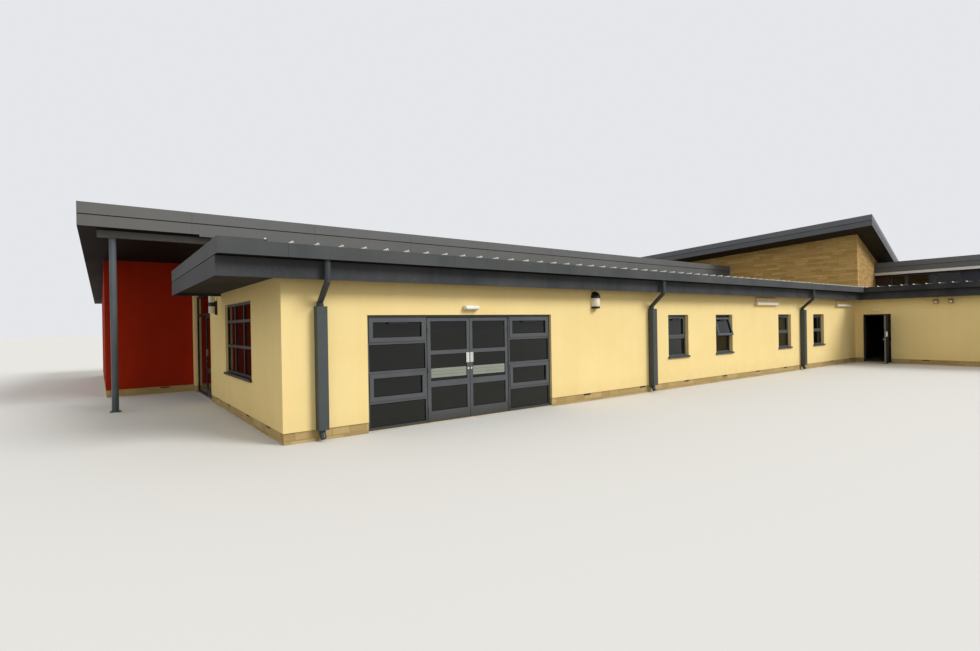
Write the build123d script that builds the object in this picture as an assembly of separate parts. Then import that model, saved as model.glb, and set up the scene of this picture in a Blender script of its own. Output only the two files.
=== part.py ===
"""Single-storey childcare centre with mono-pitch metal roofs and a skewed stone hall.

Millimetres. The building is drawn from its outer front left wall corner: X runs along the
front, Y runs away from it into the building and Z is up from the ground. Every piece is then
moved so that the origin is the middle of the whole footprint at ground level.
"""
import os
from math import cos, radians, sin, tan

from build123d import *

# heights above the ground
FLOOR_TOP = 20
PLINTH_TOP = 190
HIGH = 12000
DOOR_HEAD = 2086
UPPER_SOFFIT = 4220
HIGH_WING_SOFFIT = UPPER_SOFFIT + 28
HALL_SOFFIT = UPPER_SOFFIT + 1698

# walls
WALL = 300
PLINTH_SET_BACK = 12
FRONT_LENGTH = 23914
PORCH_FRONT = 6210
PORCH_BACK = 9656
PORCH_LEFT = -2176
REAR = 18900
WING_FRONT = -7400
BEAM_WALL_BOTTOM = 3300

# stone hall, turned in plan, with its roof tipped towards the far corner
HALL_CORNER = (FRONT_LENGTH + 1666, 417)
HALL_TURN = 10.0
TURN = radians(HALL_TURN)
HALL_WIDTH = 10400
HALL_EAVES_OUT = 690
HALL_VERGE_OUT = 1020
HALL_LOWER_TIER = 233
HALL_UPPER_TIER = 253
HALL_SPLIT = HALL_SOFFIT + HALL_LOWER_TIER
HALL_TOP = HALL_SPLIT + HALL_UPPER_TIER
HALL_FALL_ACROSS = 0.13
HALL_FALL_ALONG = 0.073
HALL_DOOR_NEAR = 9000
HALL_DOOR_WIDTH = 1800

# right wing: a low front strip with a high roof behind it
CLERESTORY_X = FRONT_LENGTH + 7086
WING_STEP = 222
WING_RIGHT = HALL_CORNER[0] + HALL_WIDTH * cos(TURN) - WING_STEP

# low ribbed roofs over the front rooms and the right wing
LOW_EAVES_OUT = 527
LOW_BOARD_OUT = 335
LOW_UNDER = 2958
LOW_TIER = 212
LOW_TOP = LOW_UNDER + LOW_TIER
LOW_PITCH = tan(radians(5.0))
WING_PITCH = tan(radians(2.0))
LOW_BOARD_DROP = 306
LOW_BOARD_BOTTOM = LOW_UNDER - LOW_BOARD_DROP
LOW_SOFFIT = LOW_BOARD_BOTTOM + 63
BOARD = 30
BOARD_JOINT = 2
TIER_GAP = 12
CANOPY_OUT = 991
CANOPY_TOP = LOW_TOP + 30
CANOPY_BACK = PORCH_FRONT - 1180
ROOF_SIDE_OUT = 311
VERGE_OUT = 300

# high mono-pitch roofs, each with a two-tier edge
UPPER_FRONT = PORCH_FRONT - 294
UPPER_LEFT_FRONT = PORCH_LEFT - 505
UPPER_LEFT_REAR = PORCH_LEFT - 244
UPPER_REAR = REAR + 300
UPPER_LOWER_TIER = 260
UPPER_UPPER_TIER = 269
UPPER_SPLIT = UPPER_SOFFIT + UPPER_LOWER_TIER
UPPER_TOP = UPPER_SPLIT + UPPER_UPPER_TIER
UPPER_FALL = 0.0887
HIGH_WING_EDGE = CLERESTORY_X - 286
HIGH_WING_RIGHT = WING_RIGHT + 400
HIGH_WING_FALL = tan(radians(5.0))
HIGH_WING_SPLIT = HIGH_WING_SOFFIT + UPPER_LOWER_TIER
HIGH_WING_TOP = HIGH_WING_SPLIT + UPPER_UPPER_TIER
EDGE_GROOVE = 24
GROOVE_DEPTH = 40

# porch
BEAM_DEPTH = 140
BEAM_LEFT = PORCH_LEFT - 151
BEAM_BOTTOM = UPPER_SOFFIT - 178
COLUMN_X = PORCH_LEFT + 139
COLUMN_Y = PORCH_FRONT + BEAM_DEPTH / 2
COLUMN_RADIUS = 70
COLUMN_PLATE = 12
COLUMN_PLATE_SIDE = 220

# front door screen
SCREEN_LEFT = 1464
SCREEN_RIGHT = 5899
SCREEN_DOORS_LEFT = 2708
SCREEN_DOORS_RIGHT = 4675
SCREEN_TRANSOMS = (510, 1050, 1575)
FRAME_SET_BACK = 60
FRAME_DEPTH = 70
FRAME_FACE = 50
TRANSOM_FACE = 44
SASH_OUT = 12
SCREEN_SASH = (75, 80)
WINDOW_SASH = (60, 60)
GLASS = 24

# door leaves
LEAF = 50
LEAF_GAP = 5
MEETING_GAP = 10
SWING_GAP = 8
STILE = 66
TOP_RAIL = 66
MID_RAILS = ((693, 811), (1320, 1398))
KICK_RAIL = 200
PLATE_WIDTH = 76
PLATE_HEIGHT = 200
PLATE_BOTTOM = 1130
PLATE_THICK = 3
LOCK_RADIUS = 22
LOCK_HEIGHT = 1010
HINGE_X = 2.5
HINGE_OUT = 8
HINGE_RADIUS = 7.5
HINGE_WING = 45
HINGE_LENGTH = 102
HINGE_PLAY = 0.3
HINGE_LOW = 250
WING_DOOR_SWING = 98

# main entrance in the side wall
ENTRANCE_NEAR = PORCH_FRONT + 329
ENTRANCE_FAR = PORCH_BACK - 456
ENTRANCE_HEAD = 2850
ENTRANCE_TRANSOM = 2290
ENTRANCE_LEAF = 1016

# staff door in the wing wall, standing open at rest
WING_DOOR_NEAR = -1278
WING_DOOR_FAR = -295
WING_DOOR_HEAD = 2040

# windows: width, sill and head, and the left edges along each wall
WINDOW_WIDTH = 970
WINDOW_SILL = 890
WINDOW_TRANSOM = 1420
WINDOW_HEAD = 2066
WINDOW_SET_BACK = 100
WINDOW_FACE = 52
FRONT_WINDOWS = (10360, 12800, 16860, 19715)
OPEN_WINDOW = 1
OPEN_ANGLE = 16
OPEN_DROP = 34
REAR_WINDOWS = (1600, 6600, 11600, 16600)
WING_WINDOWS = (-5600, -2400)
SIDE_WINDOW = (2060, 4562)
SIDE_WINDOW_SILL = 895
SIDE_WINDOW_HEAD = 2423
SIDE_TRANSOMS = (1500, 2041)
SIDE_WINDOW_SET_BACK = 50
SILL_THICK = 40
SILL_OUT = 45
SILL_SIDE = 20

# clerestory windows over the wing roof: glazed bays and solid panels along Y
CLERESTORY_SILL = LOW_TOP + (CLERESTORY_X - FRONT_LENGTH + LOW_EAVES_OUT) * WING_PITCH + 34
CLERESTORY_HEAD = HIGH_WING_SOFFIT - 153
CLERESTORY_BAYS = ((-6050, -5025, -3874, -3203), (-2130, -1105, 46, 717))
CLERESTORY_PANELS = ((-3203, -2130), (717, 1350))
CLERESTORY_PANEL = 18
CLERESTORY_MULLION = 140
HEAD_BOARD_DROP = 130

# rainwater pipes
PIPE_X = (612, 9539, 18652)
PIPE_RADIUS = 50
PIPE_OUT = 433
PIPE_WALL_OUT = 62
PIPE_BEND_TOP = 2620
PIPE_BEND_LOW = 2300
SHOE_TOP = 150
SHOE_OUT = 60
SHOE_BOTTOM = 45
GUARD_WIDTH = 170
GUARD_DEPTH = 165
GUARD_SHEET = 4
GUARD_TOP = 2230

# lamps: left end, right end, underside and top along the front
OVAL_LAMP = (3487, 3862, 2172, 2280)
WALL_LANTERN = (7235, 7455, 2225, 2635)
STRIP_LAMPS = ((15190, 16710, 2378, 2615), (FRONT_LENGTH - 2104, FRONT_LENGTH - 684, 2375, 2615))
LAMP_DEPTH = 110
LANTERN_DEPTH = 170
SIDE_LAMP_Y = PORCH_FRONT - 660
SIDE_LAMP_RADIUS = 70
SIDE_LAMP_OUT = 115
SIDE_LAMP_Z = (2270, 2690)
SIDE_LAMP_ARM_Z = (2430, 2535)
SIDE_LAMP_BOX = (50, 2230, 2567)
FLOODLIGHTS = (-3220, -2774)
FLOODLIGHT_Z = 2485
FLOODLIGHT_SIZE = 150
FLOODLIGHT_BODY = 90
FLOODLIGHT_OUT = 130
FLOODLIGHT_TILT = 30
WING_LAMP = (-930, -680, 2190, 2260)

# the hall's own directions in plan
ACROSS = (cos(TURN), sin(TURN))
ALONG = (-sin(TURN), cos(TURN))
HALL_LENGTH = (REAR - HALL_CORNER[1]) / ALONG[1]


def hall_point(across, along):
    """Plan position from the hall's front left wall corner."""
    x = HALL_CORNER[0] + across * ACROSS[0] + along * ALONG[0]
    y = HALL_CORNER[1] + across * ACROSS[1] + along * ALONG[1]
    return (x, y)


def hall_side_x(y):
    """X of the hall's long outer face at a given Y."""
    return HALL_CORNER[0] - (y - HALL_CORNER[1]) * tan(TURN)


def hall_front_y(x):
    """Y of the hall's front outer face at a given X."""
    return HALL_CORNER[1] + (x - HALL_CORNER[0]) * tan(TURN)


HALL_ROOF_OUTLINE = (
    hall_point(-HALL_VERGE_OUT, -HALL_EAVES_OUT),
    hall_point(HALL_WIDTH + VERGE_OUT, -HALL_EAVES_OUT),
    hall_point(HALL_WIDTH + VERGE_OUT, HALL_LENGTH + VERGE_OUT),
    hall_point(-HALL_VERGE_OUT, HALL_LENGTH + VERGE_OUT),
)
# the origin sits in the middle of the whole outline
RIGHT_END = max(HIGH_WING_RIGHT, max(p[0] for p in HALL_ROOF_OUTLINE))
BACK_END = max(UPPER_REAR, max(p[1] for p in HALL_ROOF_OUTLINE))
FRONT_END = WING_FRONT - VERGE_OUT
ORIGIN_X = (UPPER_LEFT_FRONT + RIGHT_END) / 2
ORIGIN_Y = (FRONT_END + BACK_END) / 2


def save(shape, name):
    """Move a piece to the shared origin and write its file."""
    export_step(Pos(-ORIGIN_X, -ORIGIN_Y, 0) * shape, f"parts/{name}.step")


def block(x0, x1, y0, y1, z0, z1):
    """Box between two corners."""
    return Pos((x0 + x1) / 2, (y0 + y1) / 2, (z0 + z1) / 2) * Box(x1 - x0, y1 - y0, z1 - z0)


def outline_face(points, z):
    """Flat face over a closed plan outline."""
    return make_face(Polyline(*[(x, y, z) for x, y in points], close=True))


def prism(points, z0, z1):
    """Upright solid over a plan outline."""
    return extrude(outline_face(points, z0), amount=z1 - z0, dir=(0, 0, 1))


def incline(x, y, z, grade_x, grade_y):
    """Sloping plane through a point, rising by a grade along X and along Y."""
    return Plane(origin=(x, y, z), z_dir=(-grade_x, -grade_y, 1))


def below(shape, plane):
    """Part of a solid under a plane."""
    return split(shape, bisect_by=plane, keep=Keep.BOTTOM)


def above(shape, plane):
    """Part of a solid over a plane."""
    return split(shape, bisect_by=plane, keep=Keep.TOP)


def ring(x0, x1, y0, y1, z0, z1, face):
    """Upright rectangular frame with members of one width."""
    outer = block(x0, x1, y0, y1, z0, z1)
    return outer - block(x0 + face, x1 - face, y0 - face, y1 + face, z0 + face, z1 - face)


def together(shapes):
    """Several solids that don't touch, as one piece."""
    return Compound(children=list(shapes))


def low_plane(z):
    """Plane parallel to the front low roof, at height z over its eaves."""
    return incline(0, -LOW_EAVES_OUT, z, 0, LOW_PITCH)


def wing_plane(z):
    """Plane parallel to the low roof of the wing, at height z over its eaves."""
    return incline(FRONT_LENGTH - LOW_EAVES_OUT, 0, z, WING_PITCH, 0)


def upper_plane(z):
    """Plane parallel to the upper roof, at height z over its front edge."""
    return incline(0, UPPER_FRONT, z, 0, -UPPER_FALL)


def high_wing_plane(z):
    """Plane parallel to the high roof of the wing, at height z over its edge."""
    return incline(HIGH_WING_EDGE, 0, z, -HIGH_WING_FALL, 0)


def hall_plane(z):
    """Plane parallel to the hall roof, at height z over its highest corner."""
    corner = hall_point(-HALL_VERGE_OUT, -HALL_EAVES_OUT)
    grade_x = -HALL_FALL_ACROSS * ACROSS[0] - HALL_FALL_ALONG * ALONG[0]
    grade_y = -HALL_FALL_ACROSS * ACROSS[1] - HALL_FALL_ALONG * ALONG[1]
    return incline(corner[0], corner[1], z, grade_x, grade_y)


def slab(points, under, top):
    """Roof slab over an outline between two parallel planes."""
    return above(below(prism(points, 0, HIGH), top), under)


def inset(points, distance):
    """Flat face drawn in by a distance on every side of an outline."""
    return offset(outline_face(points, 0), amount=-distance, kind=Kind.INTERSECTION)


def two_tier_roof(points, plane, soffit, parting, top):
    """Upper and lower tier of a thick roof edge, with the dark groove between them."""
    half = EDGE_GROOVE / 2
    upper = slab(points, plane(parting + half), plane(top))
    core = extrude(inset(points, GROOVE_DEPTH), amount=HIGH, dir=(0, 0, 1))
    neck = above(below(core, plane(parting + half)), plane(soffit))
    lower = slab(points, plane(soffit), plane(parting - half)) + neck
    return upper, lower


def hall_mass():
    """Whole volume that the hall's walls stand round."""
    return hall_run((0, HALL_WIDTH), (0, HALL_LENGTH), -WALL, HIGH)


def floors():
    """Ground floor slabs, one for each straight-sided part of the plan."""
    near = WALL
    far = PORCH_BACK + WALL
    left = PORCH_LEFT + WALL
    rear = REAR - WALL
    corner = (FRONT_LENGTH + WALL, near)
    wing_far = WING_RIGHT - WALL
    front = [(near, near), corner, HALL_CORNER, (hall_side_x(far), far), (near, far)]
    main_room = [(left, far), (hall_side_x(far), far), (hall_side_x(rear), rear), (left, rear)]
    wing = [(corner[0], WING_FRONT + WALL), (wing_far, WING_FRONT + WALL)]
    wing += [(wing_far, hall_front_y(wing_far)), HALL_CORNER, corner]
    save(prism(front, 0, FLOOR_TOP), "front_floor")
    save(prism(main_room, 0, FLOOR_TOP), "main_floor")
    save(prism(wing, 0, FLOOR_TOP), "wing_floor")
    save(hall_run((WALL, HALL_WIDTH - WALL), (WALL, HALL_LENGTH - WALL), 0, FLOOR_TOP), "hall_floor")


def keep_front(shape):
    """Solid of a cut-up shape that lies nearest the front."""
    return sorted(shape.solids(), key=lambda solid: solid.center().Y)[0]


def hall_run(across, along, z0, z1):
    """Upright solid set square to the hall, from its ranges in the hall's own directions."""
    corners = [(across[0], along[0]), (across[1], along[0]), (across[1], along[1]), (across[0], along[1])]
    return prism([hall_point(s, t) for s, t in corners], z0, z1)


def wall_windows(edges, y):
    """Holes for a row of windows in a wall along X whose near face is at y."""
    return [block(x, x + WINDOW_WIDTH, y - WALL, y + 2 * WALL, WINDOW_SILL, WINDOW_HEAD) for x in edges]


def cross_windows(edges, x):
    """Holes for a row of windows in a wall along Y whose left face is at x."""
    return [block(x - WALL, x + 2 * WALL, y, y + WINDOW_WIDTH, WINDOW_SILL, WINDOW_HEAD) for y in edges]


def front_walls():
    """Rendered front wall on both sides of the door screen, with its four windows."""
    top = low_plane(LOW_UNDER)
    left = below(block(0, SCREEN_LEFT, 0, WALL, PLINTH_TOP, HIGH), top)
    right = block(SCREEN_RIGHT, FRONT_LENGTH, 0, WALL, PLINTH_TOP, HIGH)
    for hole in wall_windows(FRONT_WINDOWS, 0):
        right -= hole
    save(together([left, below(right, top)]), "front_wall")


def door_heads():
    """Wall over each of the three outer doorways and over the hall's doorway."""
    front = block(SCREEN_LEFT, SCREEN_RIGHT, 0, WALL, DOOR_HEAD, HIGH)
    front = below(front, low_plane(LOW_UNDER))
    entrance = block(0, WALL, ENTRANCE_NEAR, ENTRANCE_FAR, ENTRANCE_HEAD, HIGH)
    entrance = below(entrance, upper_plane(UPPER_SOFFIT))
    outer = FRONT_LENGTH
    wing = block(outer, outer + WALL, WING_DOOR_NEAR, WING_DOOR_FAR, WING_DOOR_HEAD, HIGH)
    wing = below(wing, wing_plane(LOW_UNDER))
    hall = hall_run((0, WALL), (HALL_DOOR_NEAR, HALL_DOOR_NEAR + HALL_DOOR_WIDTH), DOOR_HEAD, HIGH)
    hall = below(hall, hall_plane(HALL_SOFFIT))
    save(together([front, entrance, wing, hall]), "walls_over_doors")


def side_walls():
    """Side wall with the wide window, and the pier beyond the entrance."""
    low = block(0, WALL, WALL, PORCH_FRONT, PLINTH_TOP, HIGH)
    low = below(low, low_plane(LOW_UNDER))
    low -= block(-WALL, 2 * WALL, SIDE_WINDOW[0], SIDE_WINDOW[1], SIDE_WINDOW_SILL, SIDE_WINDOW_HEAD)
    post = block(0, WALL, PORCH_FRONT, ENTRANCE_NEAR, PLINTH_TOP, HIGH)
    post = below(post, upper_plane(UPPER_SOFFIT))
    pier = block(0, WALL, ENTRANCE_FAR, PORCH_BACK, PLINTH_TOP, HIGH)
    pier = below(pier, upper_plane(UPPER_SOFFIT))
    save(together([low + post, pier]), "side_wall")


def main_walls():
    """Red porch wall, plain left and rear walls, and the wall over the low roof."""
    top = upper_plane(UPPER_SOFFIT)
    red = block(PORCH_LEFT, WALL, PORCH_BACK, PORCH_BACK + WALL, PLINTH_TOP, HIGH)
    left = block(PORCH_LEFT, PORCH_LEFT + WALL, PORCH_BACK + WALL, REAR - WALL, PLINTH_TOP, HIGH)
    corners = [(PORCH_LEFT, REAR - WALL), (hall_side_x(REAR - WALL), REAR - WALL)]
    corners += [(hall_side_x(REAR), REAR), (PORCH_LEFT, REAR)]
    rear = prism(corners, PLINTH_TOP, HIGH)
    for hole in wall_windows(REAR_WINDOWS, REAR - WALL):
        rear -= hole
    near = PORCH_FRONT
    far = PORCH_FRONT + WALL
    corners = [(WALL, near), (hall_side_x(near), near), (hall_side_x(far), far), (WALL, far)]
    save(below(red, top), "red_wall")
    save(below(left, top), "left_wall")
    save(below(rear, top), "rear_wall")
    save(below(prism(corners, BEAM_WALL_BOTTOM, HIGH), top), "upper_front_wall")


def wing_walls():
    """Walls of the right wing, with the doorway split out."""
    low = wing_plane(LOW_UNDER)
    high = high_wing_plane(HIGH_WING_SOFFIT)
    outer = FRONT_LENGTH
    long_part = block(outer, outer + WALL, WING_FRONT, WING_DOOR_NEAR, PLINTH_TOP, HIGH)
    corner = block(outer, outer + WALL, WING_DOOR_FAR, WALL, PLINTH_TOP, HIGH)
    save(together([below(long_part, low), below(corner, low)]), "wing_wall")
    end_low = block(outer + WALL, CLERESTORY_X, WING_FRONT, WING_FRONT + WALL, PLINTH_TOP, HIGH)
    seat = block(CLERESTORY_X, CLERESTORY_X + WALL, WING_FRONT, WING_FRONT + WALL, PLINTH_TOP,
                 BEAM_WALL_BOTTOM)
    end_high = block(CLERESTORY_X + WALL, WING_RIGHT, WING_FRONT, WING_FRONT + WALL, PLINTH_TOP, HIGH)
    save(below(end_low, low) + seat + below(end_high, high), "wing_end_wall")
    back = block(WING_RIGHT - WALL, WING_RIGHT, WING_FRONT + WALL, hall_front_y(WING_RIGHT) + WALL,
                 PLINTH_TOP, HIGH)
    for hole in cross_windows(WING_WINDOWS, WING_RIGHT - WALL):
        back -= hole
    save(below(back - hall_mass(), high), "wing_back_wall")
    strip = block(CLERESTORY_X, CLERESTORY_X + WALL, WING_FRONT, hall_front_y(CLERESTORY_X) + WALL,
                  BEAM_WALL_BOTTOM, HIGH)
    for bay in CLERESTORY_BAYS:
        strip -= block(CLERESTORY_X - WALL, CLERESTORY_X + 2 * WALL, bay[0], bay[-1], CLERESTORY_SILL,
                       CLERESTORY_HEAD)
    save(below(strip - hall_mass(), high), "clerestory_wall")


def hall_wall(across, along):
    """One straight stone wall of the hall, up to the slope of its roof."""
    return below(hall_run(across, along, 0, HIGH), hall_plane(HALL_SOFFIT))


def hall_walls():
    """Four stone walls of the hall, with one doorway from the main room."""
    inner = HALL_WIDTH - WALL
    back = HALL_LENGTH - WALL
    door_far = HALL_DOOR_NEAR + HALL_DOOR_WIDTH
    near_part = hall_wall((0, WALL), (0, HALL_DOOR_NEAR))
    far_part = hall_wall((0, WALL), (door_far, HALL_LENGTH))
    save(together([near_part, far_part]), "hall_long_wall")
    save(hall_wall((WALL, HALL_WIDTH), (0, WALL)), "hall_front_wall")
    save(hall_wall((WALL, HALL_WIDTH), (back, HALL_LENGTH)), "hall_back_wall")
    save(hall_wall((inner, HALL_WIDTH), (WALL, back)), "hall_right_wall")


def plinths():
    """Stone base course under the rendered walls, in runs along X and along Y."""
    lap = PLINTH_SET_BACK
    top = PLINTH_TOP
    front_left = block(lap, SCREEN_LEFT, lap, WALL, 0, top)
    front_right = block(SCREEN_RIGHT, FRONT_LENGTH + lap, lap, WALL, 0, top)
    red = block(PORCH_LEFT + lap, WALL, PORCH_BACK + lap, PORCH_BACK + WALL, 0, top)
    corners = [(PORCH_LEFT + lap, REAR - WALL), (hall_side_x(REAR - WALL), REAR - WALL)]
    corners += [(hall_side_x(REAR - lap), REAR - lap), (PORCH_LEFT + lap, REAR - lap)]
    rear = prism(corners, 0, top)
    end = block(FRONT_LENGTH + WALL, WING_RIGHT - lap, WING_FRONT + lap, WING_FRONT + WALL, 0, top)
    save(together([front_left, front_right, red, rear, end]), "plinths_along_front")
    side_near = block(lap, WALL, WALL, ENTRANCE_NEAR, 0, top)
    side_far = block(lap, WALL, ENTRANCE_FAR, PORCH_BACK + lap, 0, top)
    left = block(PORCH_LEFT + lap, PORCH_LEFT + WALL, PORCH_BACK + WALL, REAR - WALL, 0, top)
    outer = FRONT_LENGTH
    wing_long = block(outer + lap, outer + WALL, WING_FRONT + lap, WING_DOOR_NEAR, 0, top)
    wing_corner = block(outer + lap, outer + WALL, WING_DOOR_FAR, WALL, 0, top)
    back = block(WING_RIGHT - WALL, WING_RIGHT - lap, WING_FRONT + WALL, hall_front_y(WING_RIGHT) + WALL,
                 0, top) - hall_mass()
    save(together([side_near, side_far, left, wing_long, wing_corner, back]), "plinths_along_sides")


def low_roofs():
    """Ribbed low roofs of the front and the wing, meeting in a valley, and the side canopy."""
    hall = hall_mass()
    eaves_x = FRONT_LENGTH - LOW_EAVES_OUT
    run = HALL_CORNER[0] + LOW_EAVES_OUT - eaves_x
    valley = (eaves_x + run, -LOW_EAVES_OUT + run * WING_PITCH / LOW_PITCH)
    front = [(-ROOF_SIDE_OUT, -LOW_EAVES_OUT), (eaves_x, -LOW_EAVES_OUT), valley,
             (valley[0], PORCH_FRONT), (-ROOF_SIDE_OUT, PORCH_FRONT)]
    wing = [(eaves_x, FRONT_END), (CLERESTORY_X, FRONT_END), (CLERESTORY_X, PORCH_FRONT),
            (valley[0], PORCH_FRONT), valley, (eaves_x, -LOW_EAVES_OUT)]
    low = slab(front, low_plane(LOW_UNDER), low_plane(LOW_TOP)) - hall
    save(left_solid(low), "front_low_roof")
    low = slab(wing, wing_plane(LOW_UNDER), wing_plane(LOW_TOP)) - hall
    save(keep_front(low), "wing_low_roof")
    flat = block(-CANOPY_OUT, -ROOF_SIDE_OUT, -LOW_EAVES_OUT, CANOPY_BACK, LOW_UNDER, CANOPY_TOP)
    wedge = block(-ROOF_SIDE_OUT, 0, -LOW_EAVES_OUT, CANOPY_BACK, LOW_UNDER, HIGH)
    wedge = below(wedge, low_plane(LOW_UNDER))
    save(flat + wedge, "side_canopy")


def left_solid(shape):
    """Solid of a cut-up shape that lies furthest left."""
    return sorted(shape.solids(), key=lambda solid: solid.center().X)[0]


def low_eaves():
    """Boxed soffits under the low roofs, with the edge boards hanging just below them."""
    joint = BOARD_JOINT
    left = -CANOPY_OUT
    left_in = left + BOARD
    front = -LOW_BOARD_OUT
    front_in = front + BOARD
    right = FRONT_LENGTH - LOW_BOARD_OUT
    right_in = right + BOARD
    side = block(left_in, -joint, front_in, CANOPY_BACK - BOARD, LOW_SOFFIT, LOW_UNDER)
    long = block(0, right_in - joint, front_in, 0, LOW_SOFFIT, HIGH)
    wing = block(right_in, FRONT_LENGTH, FRONT_END + BOARD, 0, LOW_SOFFIT, HIGH)
    long = below(long, low_plane(LOW_UNDER))
    wing = below(wing, wing_plane(LOW_UNDER))
    save(together([side, long, wing]), "low_soffits")
    top = LOW_UNDER - TIER_GAP
    bottom = LOW_BOARD_BOTTOM
    boards = [block(left, left_in, front, CANOPY_BACK, bottom, top)]
    boards.append(block(left_in + joint, right - joint, front, front_in, bottom, top))
    boards.append(block(left_in + joint, -joint, CANOPY_BACK - BOARD, CANOPY_BACK, bottom, top))
    boards.append(block(right, right_in, FRONT_END, front_in, bottom, top))
    boards.append(block(right_in + joint, FRONT_LENGTH, FRONT_END, FRONT_END + BOARD, bottom, top))
    save(together(boards), "low_edge_boards")


def high_roofs():
    """Upper roof over the main rooms, high roof of the wing and the hall roof."""
    left = [(UPPER_LEFT_FRONT, UPPER_FRONT), (hall_side_x(UPPER_FRONT), UPPER_FRONT)]
    points = left + [(hall_side_x(UPPER_REAR), UPPER_REAR), (UPPER_LEFT_REAR, UPPER_REAR)]
    upper, lower = two_tier_roof(points, upper_plane, UPPER_SOFFIT, UPPER_SPLIT, UPPER_TOP)
    save(upper, "upper_roof")
    save(lower, "upper_roof_soffit")
    edge = HIGH_WING_EDGE
    right = HIGH_WING_RIGHT
    points = [(edge, FRONT_END), (right, FRONT_END)]
    points += [(right, hall_front_y(right)), (edge, hall_front_y(edge))]
    upper, lower = two_tier_roof(points, high_wing_plane, HIGH_WING_SOFFIT, HIGH_WING_SPLIT, HIGH_WING_TOP)
    save(upper, "wing_high_roof")
    save(lower, "wing_high_roof_soffit")
    bottom = HIGH_WING_SOFFIT - HEAD_BOARD_DROP
    board = block(edge, edge + BOARD, FRONT_END, hall_front_y(edge), bottom, HIGH)
    save(below(board, high_wing_plane(HIGH_WING_SOFFIT)) - hall_mass(), "clerestory_head_board")
    upper, lower = two_tier_roof(HALL_ROOF_OUTLINE, hall_plane, HALL_SOFFIT, HALL_SPLIT, HALL_TOP)
    save(upper, "hall_roof")
    save(lower, "hall_roof_soffit")


def porch():
    """Round column and the edge beam that it carries."""
    beam = block(BEAM_LEFT, 0, PORCH_FRONT, PORCH_FRONT + BEAM_DEPTH, BEAM_BOTTOM, HIGH)
    save(below(beam, upper_plane(UPPER_SOFFIT)), "porch_beam")
    shaft = Pos(COLUMN_X, COLUMN_Y, BEAM_BOTTOM / 2) * Cylinder(COLUMN_RADIUS, BEAM_BOTTOM)
    half = COLUMN_PLATE_SIDE / 2
    foot = block(COLUMN_X - half, COLUMN_X + half, COLUMN_Y - half, COLUMN_Y + half, 0, COLUMN_PLATE)
    save(shaft + foot, "porch_column")


def pipe(points):
    """Round rainwater pipe along a bent centre line."""
    path = Polyline(*points)
    section = Plane(origin=points[0], z_dir=path % 0) * Circle(PIPE_RADIUS)
    return sweep(section, path=path, transition=Transition.RIGHT)


def rainwater():
    """Downpipes from the eaves to the ground and the channel guards over them."""
    pipes = []
    guards = []
    for x in PIPE_X:
        wall_y = -PIPE_WALL_OUT
        run = pipe([(x, -PIPE_OUT, LOW_TOP), (x, -PIPE_OUT, PIPE_BEND_TOP), (x, wall_y, PIPE_BEND_LOW),
                    (x, wall_y, SHOE_TOP), (x, wall_y - SHOE_OUT, SHOE_BOTTOM)])
        pipes.append(below(run, low_plane(LOW_UNDER)))
        half = GUARD_WIDTH / 2
        sheet = GUARD_SHEET
        outer = block(x - half, x + half, -GUARD_DEPTH, 0, PLINTH_TOP, GUARD_TOP)
        guards.append(outer - block(x - half + sheet, x + half - sheet, sheet - GUARD_DEPTH, sheet, 0, HIGH))
    save(together(pipes), "downpipes")
    save(together(guards), "pipe_guards")


def sash(x0, x1, y0, y1, z0, z1, faces):
    """Opening light that stands a little proud of its frame, with its own stile and rail widths."""
    stile, rail = faces
    hole = block(x0 + stile, x1 - stile, y0 - WALL, y1 + WALL, z0 + rail, z1 - rail)
    return block(x0, x1, y0 - SASH_OUT, y1, z0, z1) - hole


def window(opens):
    """Frame with a fixed light under a taller one, which opens or not, drawn on its outer wall face."""
    half = WINDOW_WIDTH / 2
    inner = half - WINDOW_FACE
    y0 = WINDOW_SET_BACK
    y1 = y0 + FRAME_DEPTH
    middle = (y0 + y1) / 2
    low = WINDOW_TRANSOM - WINDOW_FACE / 2
    high = WINDOW_TRANSOM + WINDOW_FACE / 2
    top = WINDOW_HEAD - WINDOW_FACE
    frame = ring(-half, half, y0, y1, WINDOW_SILL, WINDOW_HEAD, WINDOW_FACE)
    frame += block(-inner, inner, y0, y1, low, high)
    stile, rail = WINDOW_SASH if opens else (0, 0)
    sashes = [sash(-inner, inner, y0, y1, high, top, WINDOW_SASH)] if opens else []
    panes = [block(-inner, inner, middle - GLASS / 2, middle + GLASS / 2, WINDOW_SILL + WINDOW_FACE, low)]
    panes.append(block(-inner + stile, inner - stile, middle - GLASS / 2, middle + GLASS / 2,
                       high + rail, top - rail))
    return frame, sashes, panes


def window_sill(width, sill, set_back):
    """Metal sill that laps over the wall below a window."""
    half = width / 2 + SILL_SIDE
    sheet = SILL_THICK / 4
    lip = block(-half, half, -SILL_OUT, 0, sill - SILL_THICK, sill + sheet)
    return lip + block(-width / 2, width / 2, 0, set_back, sill, sill + sheet)


def stand(shape, x, y, turn):
    """Put a window drawn at the origin on its wall."""
    return Pos(x, y, 0) * Rot(0, 0, turn) * shape


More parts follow.
